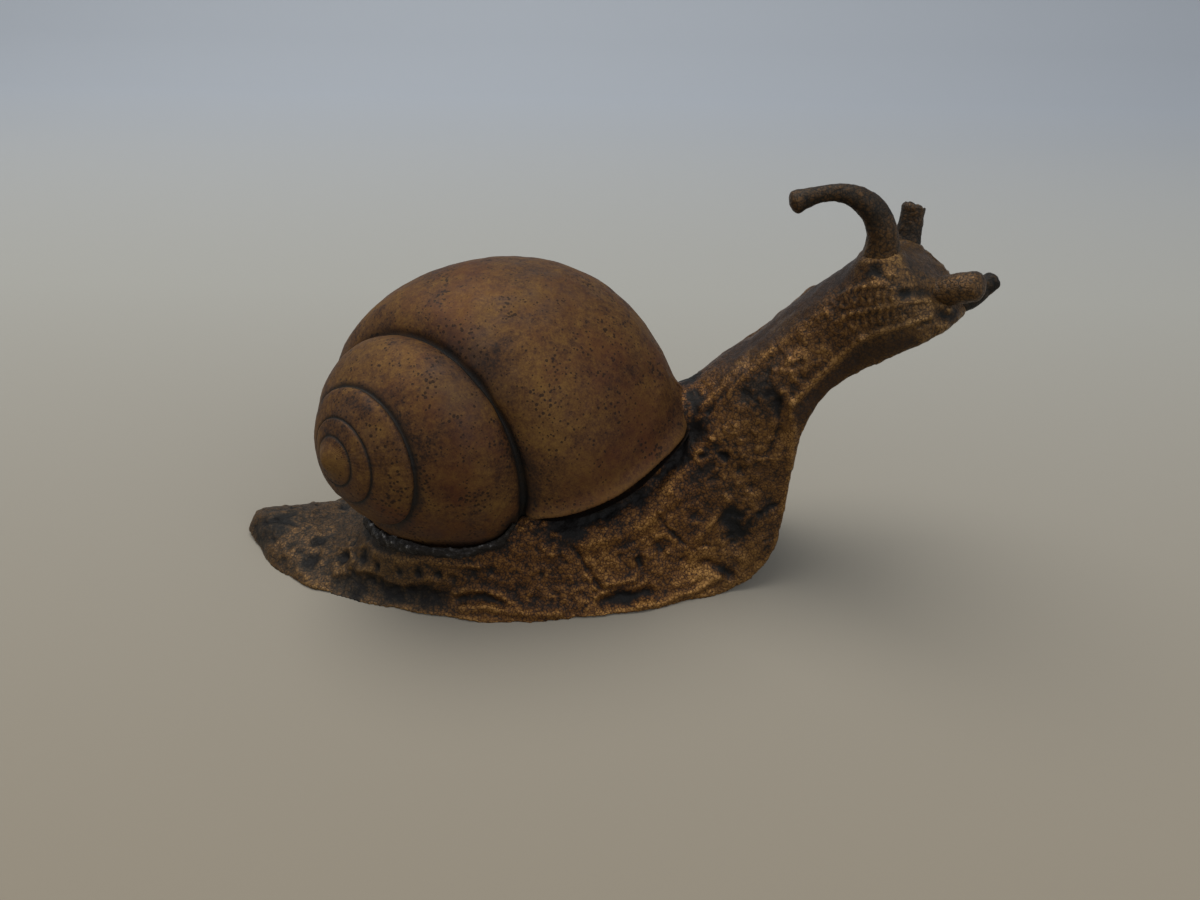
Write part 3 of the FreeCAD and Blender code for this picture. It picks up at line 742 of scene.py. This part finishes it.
def calmed(piece, values, rounds):
    # Values of the vertices averaged with those of their neighbours.
    ends = np.zeros(len(piece.data.edges) * 2, np.int32)
    piece.data.edges.foreach_get("vertices", ends)
    a, b = ends.reshape(-1, 2).T
    total = len(piece.data.vertices)
    count = np.maximum(np.bincount(ends, minlength=total), 1)
    for _ in range(rounds):
        mean = (np.bincount(a, values[b], total) + np.bincount(b, values[a], total)) / count
        values = 0.4 * values + 0.6 * mean
    return values


def relief(piece, rounds):
    # How far each vertex stands above or below the form around it.
    points = places(piece)
    calm = np.array([calmed(piece, points[:, k], rounds) for k in range(3)]).T
    return np.sum((points - calm) * normals(piece), axis=1)


def cheek_bars():
    for (x0, y0), (x1, y1), drop, count in BAR_ROWS:
        for share in np.linspace(0.0, 1.0, count):
            x, y = x0 + (x1 - x0) * share, y0 + (y1 - y0) * share
            yield (x + 2, y), (x - 1, y + drop / 2), (x, y + drop), BAR_WIDTH, BAR_RISE


def both_sides(tree, pixels):
    # The feature behind the pixels, and its counterpart on the far side, a little way off.
    near = on_surface(tree, pixels)
    far = []
    for p in near:
        q = Vector((p[0] + FAR_SHIFT[0], 2.0 * BODY_SIDE_SHIFT - p[1] + FAR_SHIFT[1], p[2]))
        far.append(np.array(tree.find_nearest(q)[0]))
    return near, far


def line_paths(tree, lines):
    # Each line's places, on the near side and then on the far side, with its half width and height.
    for *pixels, width, rise in lines:
        for path in both_sides(tree, pixels):
            if len(path) > 1:
                yield path, width, rise


def spot_places(tree, groups):
    # Each spot's place, on the near side and on the far side, with its group's reach and amount.
    for reach, amount, *pixels in groups:
        for side in both_sides(tree, pixels):
            for place in side:
                yield place, reach, amount


def around_middle(points):
    # Directions away from the body's middle line, and how much each of them points to the top.
    line = divided(BODY_MIDDLE, 12)
    nearest, _ = nearest_on(points, line)
    away = unit(points - line[nearest])
    along = unit(line[np.minimum(nearest + 2, len(line) - 1)] - line[np.maximum(nearest - 2, 0)])
    return away, np.sum(away * unit(np.cross(along, (0, 1, 0))), axis=1)


def body_zones(points, around, tree):
    # How much each vertex belongs to the parts of the body, from 0 to 1.
    zone = SimpleNamespace()
    away, top = around_middle(points)
    x, _, z = points.T
    upward = around[:, 2]
    zone.outside = smooth_step(-0.15, 0.25, np.sum(away * around, axis=1))
    zone.outside *= smooth_step(-0.97, -0.75, upward)
    zone.tail = smooth_step(*TAIL_SPAN, x)
    zone.neck = smooth_step(*NECK_SPAN, x)
    zone.head = smooth_step(*HEAD_SPAN, x)
    zone.flank = (1.0 - zone.tail) * (1.0 - zone.neck)
    zone.edge = smooth_step(2.2, 0.2, z) * smooth_step(-0.9, -0.2, upward)
    zone.chest = smooth_step(0.45, 0.85, around[:, 0]) * smooth_step(*CHEST_SPAN, x)
    zone.outline = zone.neck * smooth_step(0.70, 0.87, top) * (1.0 - 0.3 * zone.head)
    ragged = top + 0.06 * fractal(points, *BACK_NOISE)
    zone.back = zone.neck * smooth_step(0.80, 0.95, ragged) * (1.0 - 0.5 * zone.head)
    # The strip under the neck joins the back: smoother, and painted darker as shadow
    for path in both_sides(tree, NECK_UNDERSIDE):
        zone.back = np.maximum(zone.back, bell(line_distance(points, path), 2.4))
    return zone


def skin_roughness(points, tree, zone, painted_shade_and_smooth_skin):
    folded = np.zeros(len(points))
    for path, width, rise in line_paths(tree, BODY_LINES):
        if width >= BROAD_LINE and rise > 0:
            folded = np.maximum(folded, bell(line_distance(points, path), 2.6 * width))
    rough = (1.0 - 0.92 * zone.back) * (1.0 - 0.85 * zone.edge) * (1.0 - 0.8 * zone.chest)
    return rough * (1.0 - 0.8 * painted_shade_and_smooth_skin) * (1.0 - 0.65 * folded) * (1.0 - 0.6 * zone.outline)


def creases(points, size, seed, sharpness):
    return 1.0 - np.minimum(np.abs(fractal(points, size, 3, seed)) * sharpness, 1.0)


def skin_height(points, zone, rough, mid, fine):
    # Net and veins on the tail, scales on the neck and head, pebbles and folds on the flank.
    bent = points + WARP_AMOUNT * np.array([fractal(points, WARP_SIZE, 2, seed) for seed in WARP_SEEDS]).T
    _, border = cell_distances(bent, scattered(bent[::3], *NET_CELLS))
    net = bell(border, NET_WIDTH)
    middle, border = cell_distances(bent, scattered(bent[::2], *SCALE_CELLS))
    scales = bell(border, SCALE_WIDTH)
    pebbles = bell(middle, PEBBLE_RADIUS)
    folds = creases(bent, *FOLD_CREASES)
    veins = creases(bent, *VEIN_CREASES)
    patch = smooth_step(-0.25, 0.35, mid)
    height = (0.02 + 0.05 * rough) * fine
    rough = rough * (0.25 + 0.75 * smooth_step(-0.15, 0.30, fractal(points, *SKIN_NOISE)))
    on_neck = (0.17 + 0.03 * zone.head) * scales * patch + 0.11 * veins + 0.10 * folds * (1.0 - zone.head)
    height += rough * zone.tail * (0.13 * net * patch + 0.07 * veins)
    height += rough * zone.neck * on_neck
    height += rough * zone.flank * (0.16 * pebbles * patch - 0.06 + 0.14 * folds ** 2 - 0.17 * veins ** 3)
    return height


def carved_features(points, tree, mid, fine):
    # Folds, creases, bars, dimples with a faint rim, and knobs.
    ragged = 0.32 * mid + 0.16 * fine
    carved = np.zeros(len(points))
    for path, width, rise in line_paths(tree, (*BODY_LINES, *cheek_bars())):
        gap = line_distance(points, path) + (0.9 if width < BROAD_LINE else 0.35) * ragged
        carved += rise * bell(gap, width * 1.15) * (0.9 + 0.3 * fine)
    for place, radius, depth in spot_places(tree, BODY_DIMPLES):
        gap = distance(points, place) * (1.0 + 0.30 * mid) + 0.12 * fine
        carved -= depth * bell(gap, radius * 1.15)
        carved += 0.08 * depth * np.exp(-((gap - 1.35 * radius) / (0.35 * radius)) ** 2)
    for place, radius, rise in spot_places(tree, BODY_KNOBS):
        carved += rise * bell(distance(points, place), radius)
    return carved


def root_swelling(points):
    swelling = np.zeros(len(points))
    for place, reach, rise in ROOT_MOUNDS:
        swelling += rise * bell(distance(points, np.array(place)), reach)
    for path, radii in ((NEAR_STALK, NEAR_STALK_RADII), (FAR_STALK, FAR_STALK_RADII)):
        gap = np.maximum(line_distance(points, path[:3]) - radii[1], 0.0)
        swelling += ROOT_FILLET * np.exp(-gap / FILLET_REACH)
    return swelling


def body_tones(points, tree, mid, fine):
    # Darker and more worn spots; the dark ones under the shell's lip are painted shade
    tone = np.zeros(len(points))
    for place, reach, amount in spot_places(tree, BODY_TONES):
        tone += amount * bell(distance(points, place) + 1.2 * mid + 0.3 * fine, reach)
    return tone


def displace_body(piece, height, zone, mid, solder_gap):
    # The relief outside, a faint grain inside, a wavy rim, a shorter tail and the raised solder's seat.
    points, around = places(piece), normals(piece)
    x = points[:, 0]
    rim = zone.edge * (0.18 + 0.12 * np.sin(x * 0.9 + 2.0 * fractal(points * (1, 1, 0), *RIM_NOISE)))
    moved = points + around * (height * zone.outside + 0.05 * mid * (1.0 - zone.outside))[:, None]
    moved[:, :2] += around[:, :2] * (rim * zone.outside)[:, None]
    moved[:, 0] += TAIL_SHORTENING * smooth_step(*TAIL_TIP_SPAN, x)
    moved[:, 2] += risen(points, 0.75) * bell(solder_gap, 3.2)
    moved[:, 2] = np.maximum(moved[:, 2], 0.0)
    set_places(piece, moved)


def build_body(lip_path):
    piece = remeshed("body_casting", "body", BODY_VOXEL, BODY_SMOOTHING)
    points, around = places(piece), normals(piece)
    tree = surface_tree(piece)
    zone = body_zones(points, around, tree)
    broad, mid, fine = (fractal(points, *kind) for kind in (BROAD_NOISE, MIDDLE_NOISE, FINE_NOISE))
    _, lip_gap = nearest_on(points, lip_path)
    _, solder_gap = nearest_on(points, solder_places())
    # Painted shade on the body beside the shell's lip and the solder, where its skin is also smoother
    painted_shade_and_smooth_skin = np.maximum(bell(lip_gap, LIP_SHADE_REACH), bell(solder_gap, SOLDER_SHADE_REACH))
    rough = skin_roughness(points, tree, zone, painted_shade_and_smooth_skin)
    height = 0.16 * mid + 0.12 * broad + skin_height(points, zone, rough, mid, fine)
    height += carved_features(points, tree, mid, fine) * (1.0 - 0.85 * np.maximum(zone.back, zone.outline))
    height += root_swelling(points) - LIP_GROOVE * bell(lip_gap, GROOVE_REACH)
    displace_body(piece, calmed(piece, height, 1), zone, mid, solder_gap)

    # Tone of the patina, darkened by painted shade beside the lip and the solder
    tone = body_tones(points, tree, mid, fine) - 0.85 * painted_shade_and_smooth_skin
    tone += 0.25 * broad - 0.15 * zone.tail + 0.15 * zone.neck + 0.14 * zone.flank
    olive = 0.50 * zone.tail + 0.20 * zone.neck + 0.25 * zone.head
    inside = 1.0 - zone.outside
    set_attributes(piece, relief=relief(piece, BODY_RELIEF_ROUNDS), tone=tone, olive=olive)
    set_attributes(piece, inside=inside, smooth_back=zone.back)
    return piece


def hermite(values, knots, t):
    # Smooth curve through the values, with the slopes of their neighbours.
    slopes = np.gradient(values, knots, axis=0)
    i = np.clip(np.searchsorted(knots, t, side="right") - 1, 0, len(knots) - 2)
    h = (knots[i + 1] - knots[i])[:, None]
    u = ((t - knots[i]) / (knots[i + 1] - knots[i]))[:, None]
    start = (2 * u ** 3 - 3 * u ** 2 + 1) * values[i] + (u ** 3 - 2 * u ** 2 + u) * h * slopes[i]
    return start + (3 * u ** 2 - 2 * u ** 3) * values[i + 1] + (u ** 3 - u ** 2) * h * slopes[i + 1]


HORN_SIDES, HORN_STEPS, HORN_OLIVE = 64, 130, 0.45


def horn_line(path, radii):
    # Samples of a smooth line: share of its length, place and radius, rounded off at the far end.
    path = np.array(path, float)
    knots = np.concatenate(([0.0], np.cumsum(np.linalg.norm(np.diff(path, axis=0), axis=1))))
    t = np.linspace(0.0, knots[-1], HORN_STEPS)
    radius = hermite(np.array(radii, float)[:, None], knots, t)[:, 0]
    end = np.clip((knots[-1] - t) / (0.60 * radii[-1]), 0.0, 1.0)
    radius = radius * np.maximum(np.sqrt(1.0 - (1.0 - end) ** 2), 0.02)
    return t / knots[-1], hermite(path, knots, t), radius


def horn_mesh(line, radius, flat):
    # Rings round the line, and the faces between them.
    heading = unit(np.gradient(line, axis=0))
    side = unit(np.cross((0.0, 1.0, 0.0), heading))
    turn = np.arange(HORN_SIDES) * TURN / HORN_SIDES
    vertices = [p + r * (flat * np.outer(np.cos(turn), a) + np.outer(np.sin(turn), b))
                for p, r, a, b in zip(line, radius, side, np.cross(heading, side))]
    rings = [range(i, i + HORN_SIDES) for i in range(0, HORN_STEPS * HORN_SIDES, HORN_SIDES)]
    faces = [rings[0][::-1], rings[-1]]
    for low, high in zip(rings, rings[1:]):
        faces += [(low[j - 1], low[j], high[j], high[j - 1]) for j in range(HORN_SIDES)]
    return np.vstack(vertices), faces


def horn(name, path, radii, flat, grain, tone, seed):
    # A cast feeler or stalk: round rings along a smooth line, rounded off at its far end.
    share, line, radius = horn_line(path, radii)
    piece = new_object(name, *horn_mesh(line, radius, flat))
    points, around = places(piece), normals(piece)
    height = grain * (0.6 * fractal(points, 2.0, 3, seed) + 0.4 * fractal(points, 0.6, 3, seed + 1.0))
    set_places(piece, points + around * height[:, None])
    stands = relief(piece, SMALL_RELIEF_ROUNDS)
    stands = 0.5 * (stands - np.median(stands))
    tones = np.repeat(np.interp(share, (0.2, 0.5), tone), HORN_SIDES)
    set_attributes(piece, relief=stands, tone=tones, inside=0.0, smooth_back=0.0, olive=HORN_OLIVE)
    return piece


# Paths of the stalks and feelers, and their radii
NEAR_STALK = (
    (32.9, -6.3, 40.4), (32.5, -7.0, 43.0), (31.9, -7.5, 45.7), (30.6, -7.5, 47.9), (28.9, -7.3, 49.05),
    (27.0, -7.1, 49.5), (24.9, -6.9, 49.2), (23.4, -6.8, 48.7), (22.5, -6.8, 48.35), (21.9, -6.8, 48.1),
)
NEAR_STALK_RADII = (2.7, 2.05, 1.58, 1.40, 1.20, 0.95, 0.86, 1.08, 1.25, 1.15)
FAR_STALK = ((36.3, -2.2, 40.0), (36.7, -1.7, 42.4), (37.0, -1.3, 44.9), (37.1, -1.0, 47.6))
FAR_STALK_RADII = (2.6, 1.75, 1.38, 1.35)
NEAR_FEELER = ((37.4, -7.3, 38.4), (39.2, -8.9, 39.6), (40.9, -10.4, 40.6), (42.5, -11.5, 41.2))
NEAR_FEELER_RADII = (1.9, 1.8, 1.8, 1.65)
FAR_FEELER = ((41.6, -6.35, 37.2), (43.2, -6.05, 37.9), (45.0, -5.7, 39.3), (46.3, -5.5, 40.3))
FAR_FEELER_RADII = (1.15, 1.30, 1.15, 1.05)
# Each of them: piece, node, path, radii, flatness, height of its grain, tones of its root and end, seed
HORNS = (
    ("curled_stalk", "near_eye_stalk", NEAR_STALK, NEAR_STALK_RADII, 1.0, 0.11, (0.05, -0.35), 31.0),
    ("broken_stalk", "far_eye_stalk", FAR_STALK, FAR_STALK_RADII, 1.0, 0.12, (-0.20, -0.30), 41.0),
    ("blunt_feeler", "near_feeler", NEAR_FEELER, NEAR_FEELER_RADII, 0.9, 0.08, (0.0, 0.10), 51.0),
    ("thin_feeler", "far_feeler", FAR_FEELER, FAR_FEELER_RADII, 1.0, 0.12, (-0.7, -0.6), 61.0),
)
BREAK_LEVEL, BREAK_SLOPE, BREAK_ROUGHNESS = 47.2, 0.35, 0.35


def break_top(piece):
    # The broken end of a stalk: a rough slope instead of a rounded tip.
    points = places(piece)
    x, _, z = points.T
    rough = BREAK_ROUGHNESS * fractal(points * (1, 1, 0), 0.9, 3, 71.0)
    points[:, 2] = np.minimum(z, BREAK_LEVEL - BREAK_SLOPE * (x - x.mean()) + rough)
    set_places(piece, points)


BEAD_VOXEL, BEAD_SMOOTHING = 0.12, 5
# Lumps of the solder: spacing, seed
LUMP_CELLS = (0.9, 22)


def build_bead():
    # Solder run: a rope of small lumps, thinner in front on the near side and ragged at its rear end.
    piece = remeshed("solder_bead", "solder_run", BEAD_VOXEL, BEAD_SMOOTHING)
    points, around = places(piece), normals(piece)
    lumps, _ = cell_distances(points, scattered(points[::2], *LUMP_CELLS))
    height = 0.10 * bell(lumps, 0.6) - 0.20 + 0.12 * fractal(points, 1.6, 4, 23.0)
    height -= 0.35 * smooth_step(-9.0, -3.0, points[:, 0]) * (points[:, 1] < 0)
    height += 0.22 * smooth_step(-17.0, -23.0, points[:, 0]) * (1.0 + fractal(points, 1.1, 2, 24.0))
    moved = points + around * height[:, None]
    moved[:, 2] += risen(points, 0.85)
    set_places(piece, moved)
    set_attributes(piece, relief=relief(piece, SMALL_RELIEF_ROUNDS))
    return piece


# Materials
METAL_SPECULAR, CLOTH_SPECULAR, CLOTH_ROUGHNESS = 0.22, 0.1, 0.95


def opaque(colour):
    # A single number stands for that grey.
    return (*colour, 1) if isinstance(colour, tuple) else (colour, colour, colour, 1)


class Look:
    # A material, with short calls that add its shader nodes.
    def __init__(self, name):
        self.material = bpy.data.materials.new(name)
        self.material.use_nodes = True
        self.nodes = self.material.node_tree.nodes
        self.shader = self.nodes["Principled BSDF"]
        self.place = self.nodes.new("ShaderNodeTexCoord").outputs["Object"]

    def feed(self, socket, value):
        if isinstance(value, tuple):
            socket.default_value = opaque(value)
        elif isinstance(value, (int, float)):
            socket.default_value = value
        else:
            self.material.node_tree.links.new(value, socket)

    def texture(self, kind, **inputs):
        made = self.nodes.new(kind)
        for name, value in {"Vector": self.place, **inputs}.items():
            self.feed(made.inputs[name], value)
        return made

    def noise(self, scale, detail, roughness):
        made = self.texture("ShaderNodeTexNoise", Scale=scale, Detail=detail, Roughness=roughness)
        return made.outputs["Fac"]

    def attribute(self, name):
        made = self.nodes.new("ShaderNodeAttribute")
        made.attribute_name = name
        return made.outputs["Fac"]

    def ramp(self, source, *stops):
        made = self.nodes.new("ShaderNodeValToRGB")
        stops = [(position, opaque(colour)) for position, colour in stops]
        elements = made.color_ramp.elements
        elements[0].position, elements[0].color = stops[0]
        elements[1].position, elements[1].color = stops[-1]
        for position, colour in stops[1:-1]:
            elements.new(position).color = colour
        self.feed(made.inputs["Fac"], source)
        return made.outputs["Color"]

    def calculate(self, operation, *values, clamp=False):
        made = self.nodes.new("ShaderNodeMath")
        made.operation = operation
        made.use_clamp = clamp
        for socket, value in zip(made.inputs, values):
            self.feed(socket, value)
        return made.outputs[0]

    def blend(self, start, *terms, clamp=True):
        # A start value plus each source times its weight, kept within 0 to 1 at the end.
        total = start
        for number, (source, weight) in enumerate(terms, 1):
            last = number == len(terms)
            total = self.calculate("MULTIPLY_ADD", source, weight, total, clamp=clamp and last)
        return total

    def mix(self, factor, a, b):
        made = self.nodes.new("ShaderNodeMix")
        made.data_type = "RGBA"
        for index, value in ((0, factor), (6, a), (7, b)):
            self.feed(made.inputs[index], value)
        return made.outputs[2]

    def cover(self, colour, over, source, share):
        # Another colour over the first, as far as the source times the share says.
        return self.mix(self.calculate("MULTIPLY", source, share), colour, over)

    def crackle(self, scale, bend):
        # Distance to the borders of irregular cells, from 0 on a border to 1 inside a cell.
        stir = self.texture("ShaderNodeTexNoise", Scale=scale * 0.8, Detail=4.0)
        moved = self.nodes.new("ShaderNodeVectorMath")
        moved.operation = "MULTIPLY_ADD"
        self.feed(moved.inputs[0], stir.outputs["Color"])
        moved.inputs[1].default_value = (bend * MM,) * 3
        self.feed(moved.inputs[2], self.place)
        cells = self.texture("ShaderNodeTexVoronoi", Vector=moved.outputs[0], Scale=scale)
        cells.feature = "DISTANCE_TO_EDGE"
        return self.ramp(cells.outputs["Distance"], (0.0, 0.0), (0.22, 1.0))

    def finish(self, colour, roughness, metallic, height, strength, depth):
        bump = self.nodes.new("ShaderNodeBump")
        bump.inputs["Strength"].default_value = strength
        bump.inputs["Distance"].default_value = depth * MM
        self.feed(bump.inputs["Height"], height)
        self.feed(self.shader.inputs["Normal"], bump.outputs["Normal"])
        self.feed(self.shader.inputs["Base Color"], colour)
        self.feed(self.shader.inputs["Roughness"], roughness)
        self.feed(self.shader.inputs["Metallic"], metallic)
        self.shader.inputs["Specular IOR Level"].default_value = METAL_SPECULAR
        return self.material


def body_material():
    look = Look("body_patina")
    # Darker where the back of the neck has smooth patina, and where the strip under the neck has painted
    # shadow
    back = look.attribute("smooth_back")
    patches = look.noise(170.0, 5.0, 0.62)
    grains = look.noise(1700.0, 5.0, 0.80)
    specks = look.noise(3600.0, 4.0, 0.8)
    cracks = look.crackle(900.0, 0.9)
    pits = look.crackle(2300.0, 0.35)
    base = look.blend(0.10, (look.attribute("relief"), 1.70), (look.attribute("tone"), 0.50),
                      (patches, 0.62), (cracks, 0.15), (back, -0.08))
    fine = look.blend(-1.02, (pits, 0.26), (grains, 0.85), (specks, 0.80), clamp=False)
    fine = look.calculate("MINIMUM", fine, 0.07)
    grip = look.calculate("MULTIPLY_ADD", base, 1.9, 0.30)
    worn = look.calculate("MULTIPLY_ADD", fine, grip, base, clamp=True)
    colour = look.ramp(worn, (0.10, DARK_PATINA_AND_SHADE), (0.28, DEEP_BROWN), (0.46, BROWN_PATINA),
                       (0.74, OCHRE_WEAR), (1.0, GOLD_WEAR))
    colour = look.mix(look.attribute("olive"), colour, look.mix(worn, DARK_PATINA_AND_SHADE, OLIVE_WEAR))
    cool = look.ramp(look.noise(90.0, 3.0, 0.55), (0.46, 0.0), (0.64, 1.0))
    colour = look.cover(colour, COOL_PATINA, cool, look.calculate("SUBTRACT", 0.40, worn, clamp=True))
    # Dark smooth patina on the back of the neck, and painted shadow on the strip under it
    colour = look.cover(colour, BACK_PATINA_AND_SHADOW, back, 0.65)
    colour = look.cover(colour, DEEP_BROWN, look.attribute("inside"), 0.8)
    roughness = look.ramp(worn, (0.1, 0.60), (0.9, 0.38))
    metallic = look.ramp(worn, (0.2, 0.25), (0.8, 0.75))
    height = look.blend(0.0, (grains, 0.4), (specks, 0.2), (cracks, 0.25), (pits, 0.15))
    return look.finish(colour, roughness, metallic, height, 0.60, 0.20)


def dark_pores(look):
    # Small round holes of uneven size, scattered in patches.
    pores = look.texture("ShaderNodeTexVoronoi", Scale=1900.0)
    size = look.calculate("MULTIPLY_ADD", look.noise(230.0, 5.0, 0.8), 1.7, -0.66)
    hole = look.calculate("LESS_THAN", pores.outputs["Distance"], size)
    return look.calculate("MULTIPLY", hole, 0.80)


def shell_colour(look, tone, pore):
    colour = look.ramp(tone, (0.18, SHELL_DARK), (0.36, SHELL_UMBER), (0.54, SHELL_BROWN),
                       (0.86, SHELL_OCHRE))
    red = look.ramp(look.noise(105.0, 5.0, 0.65), (0.50, 0.0), (0.66, 0.45))
    red = look.blend(red, (look.attribute("redness"), 0.55))
    colour = look.mix(red, colour, SHELL_RED)
    dull = look.ramp(look.noise(60.0, 4.0, 0.6), (0.52, 0.0), (0.72, 0.55))
    colour = look.mix(dull, colour, SHELL_GREY)
    colour = look.mix(pore, colour, SHELL_DARK)
    colour = look.cover(colour, COOL_PATINA, look.attribute("seam"), 0.88)
    # Painted shade under the lip and beside the solder
    colour = look.cover(colour, DARK_PATINA_AND_SHADE, look.attribute("under"), 0.92)
    return look.cover(colour, GOLD_WEAR, look.attribute("lip"), 0.24)


def shell_material():
    look = Look("shell_patina")
    broad = look.noise(75.0, 4.0, 0.6)
    patches = look.noise(260.0, 5.0, 0.68)
    mottle = look.noise(720.0, 5.0, 0.75)
    grains = look.noise(1700.0, 5.0, 0.75)
    specks = look.noise(4500.0, 3.0, 0.7)
    # Tone, with the shell's spots, the lighter ones partly a painted highlight
    tone = look.blend(-1.30, (broad, 0.45), (patches, 0.85), (mottle, 0.70), (grains, 0.95), (specks, 0.75),
                      (look.attribute("seam_shade"), -0.16), (look.attribute("tip"), 0.24),
                      (look.attribute("tone_spots_and_highlight"), 0.16))
    pore = dark_pores(look)
    colour = shell_colour(look, tone, pore)
    roughness = look.ramp(patches, (0.3, 0.56), (0.7, 0.72))
    metallic = look.ramp(tone, (0.2, 0.20), (0.8, 0.45))
    height = look.blend(0.35, (grains, 0.35), (specks, 0.2), (pore, -0.5))
    return look.finish(colour, roughness, metallic, height, 0.40, 0.10)


def solder_material():
    look = Look("solder")
    grains = look.noise(1500.0, 4.0, 0.8)
    tone = look.blend(0.0, (look.attribute("relief"), 1.2), (grains, 1.0))
    colour = look.ramp(tone, (0.38, SOLDER_DARK), (0.58, SOLDER_GREY), (0.70, SOLDER_PALE),
                       (0.80, SOLDER_BRIGHT))
    roughness = look.ramp(grains, (0.4, 0.6), (0.65, 0.3))
    metallic = look.ramp(tone, (0.4, 0.4), (0.6, 0.8))
    return look.finish(colour, roughness, metallic, grains, 0.8, 0.2)


def floor_material():
    # Pale cloth colour with painted light: darker and warmer in front, lighter and cooler behind.
    look = Look("cloth")
    place = look.nodes.new("ShaderNodeSeparateXYZ")
    look.feed(place.inputs[0], look.place)
    back = look.calculate("MULTIPLY_ADD", place.outputs["Y"], 1.6, 0.25, clamp=True)
    colour = look.ramp(back, (0.05, CLOTH_NEAR), (0.42, CLOTH_MIDDLE), (0.95, CLOTH_FAR))
    look.feed(look.shader.inputs["Base Color"], colour)
    look.shader.inputs["Roughness"].default_value = CLOTH_ROUGHNESS
    look.shader.inputs["Specular IOR Level"].default_value = CLOTH_SPECULAR
    return look.material


# Floor and light, in metres: the sheet's places back and up, and half its width
FLOOR_PROFILE = (
    (-1.2, 0.0), (0.35, 0.0), (0.45, 0.006), (0.55, 0.028), (0.63, 0.075), (0.67, 0.14), (0.68, 0.9),
)
FLOOR_HALF_WIDTH = 1.6
# Lights: name, place, size, power, colour
LIGHTS = (
    ("window", (-0.20, 0.10, 0.75), 0.8, 5.5, (1.0, 0.96, 0.91)),
    ("fill", (0.5, -0.55, 0.45), 0.6, 1.6, (0.92, 0.95, 1.0)),
)
LIGHT_AIM = (0, 0, 0.02)
ROOM_COLOUR, ROOM_STRENGTH = (0.94, 0.95, 1.0, 1), 0.50


def add_floor():
    # Pale sheet that runs back and curves up behind the object.
    vertices = [(side * FLOOR_HALF_WIDTH, y, z) for y, z in FLOOR_PROFILE for side in (-1, 1)]
    faces = [(i, i + 1, i + 3, i + 2) for i in range(0, len(vertices) - 2, 2)]
    floor = new_object("floor", np.array(vertices) / MM, faces)
    floor.data.materials.append(floor_material())


def add_light(name, place, size, power, colour):
    data = bpy.data.lights.new(name, "AREA")
    data.shape = "DISK"
    data.size = size
    data.energy = power
    data.color = colour
    light = add_object(name, data)
    light.location = place
    light.rotation_euler = (Vector(LIGHT_AIM) - Vector(place)).to_track_quat("-Z", "Y").to_euler()


def add_room():
    world = bpy.data.worlds.new("room")
    world.use_nodes = True
    background = world.node_tree.nodes["Background"]
    background.inputs["Color"].default_value = ROOM_COLOUR
    background.inputs["Strength"].default_value = ROOM_STRENGTH
    bpy.context.scene.world = world


def dress(piece, material, node):
    piece.data.materials.append(material)
    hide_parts(node)
    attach(piece, "root")


def build():
    bpy.context.scene.view_settings.view_transform = "Standard"
    add_camera()
    patina = body_material()
    shell, lip_path = build_shell()
    dress(shell, shell_material(), "shell_casting")
    dress(build_body(lip_path), patina, "body_casting")
    dress(build_bead(), solder_material(), "solder_bead")
    for name, node, *shape in HORNS:
        piece = horn(name, *shape)
        if name == "broken_stalk":
            break_top(piece)
        dress(piece, patina, node)
    add_floor()
    for light in LIGHTS:
        add_light(*light)
    add_room()


build()
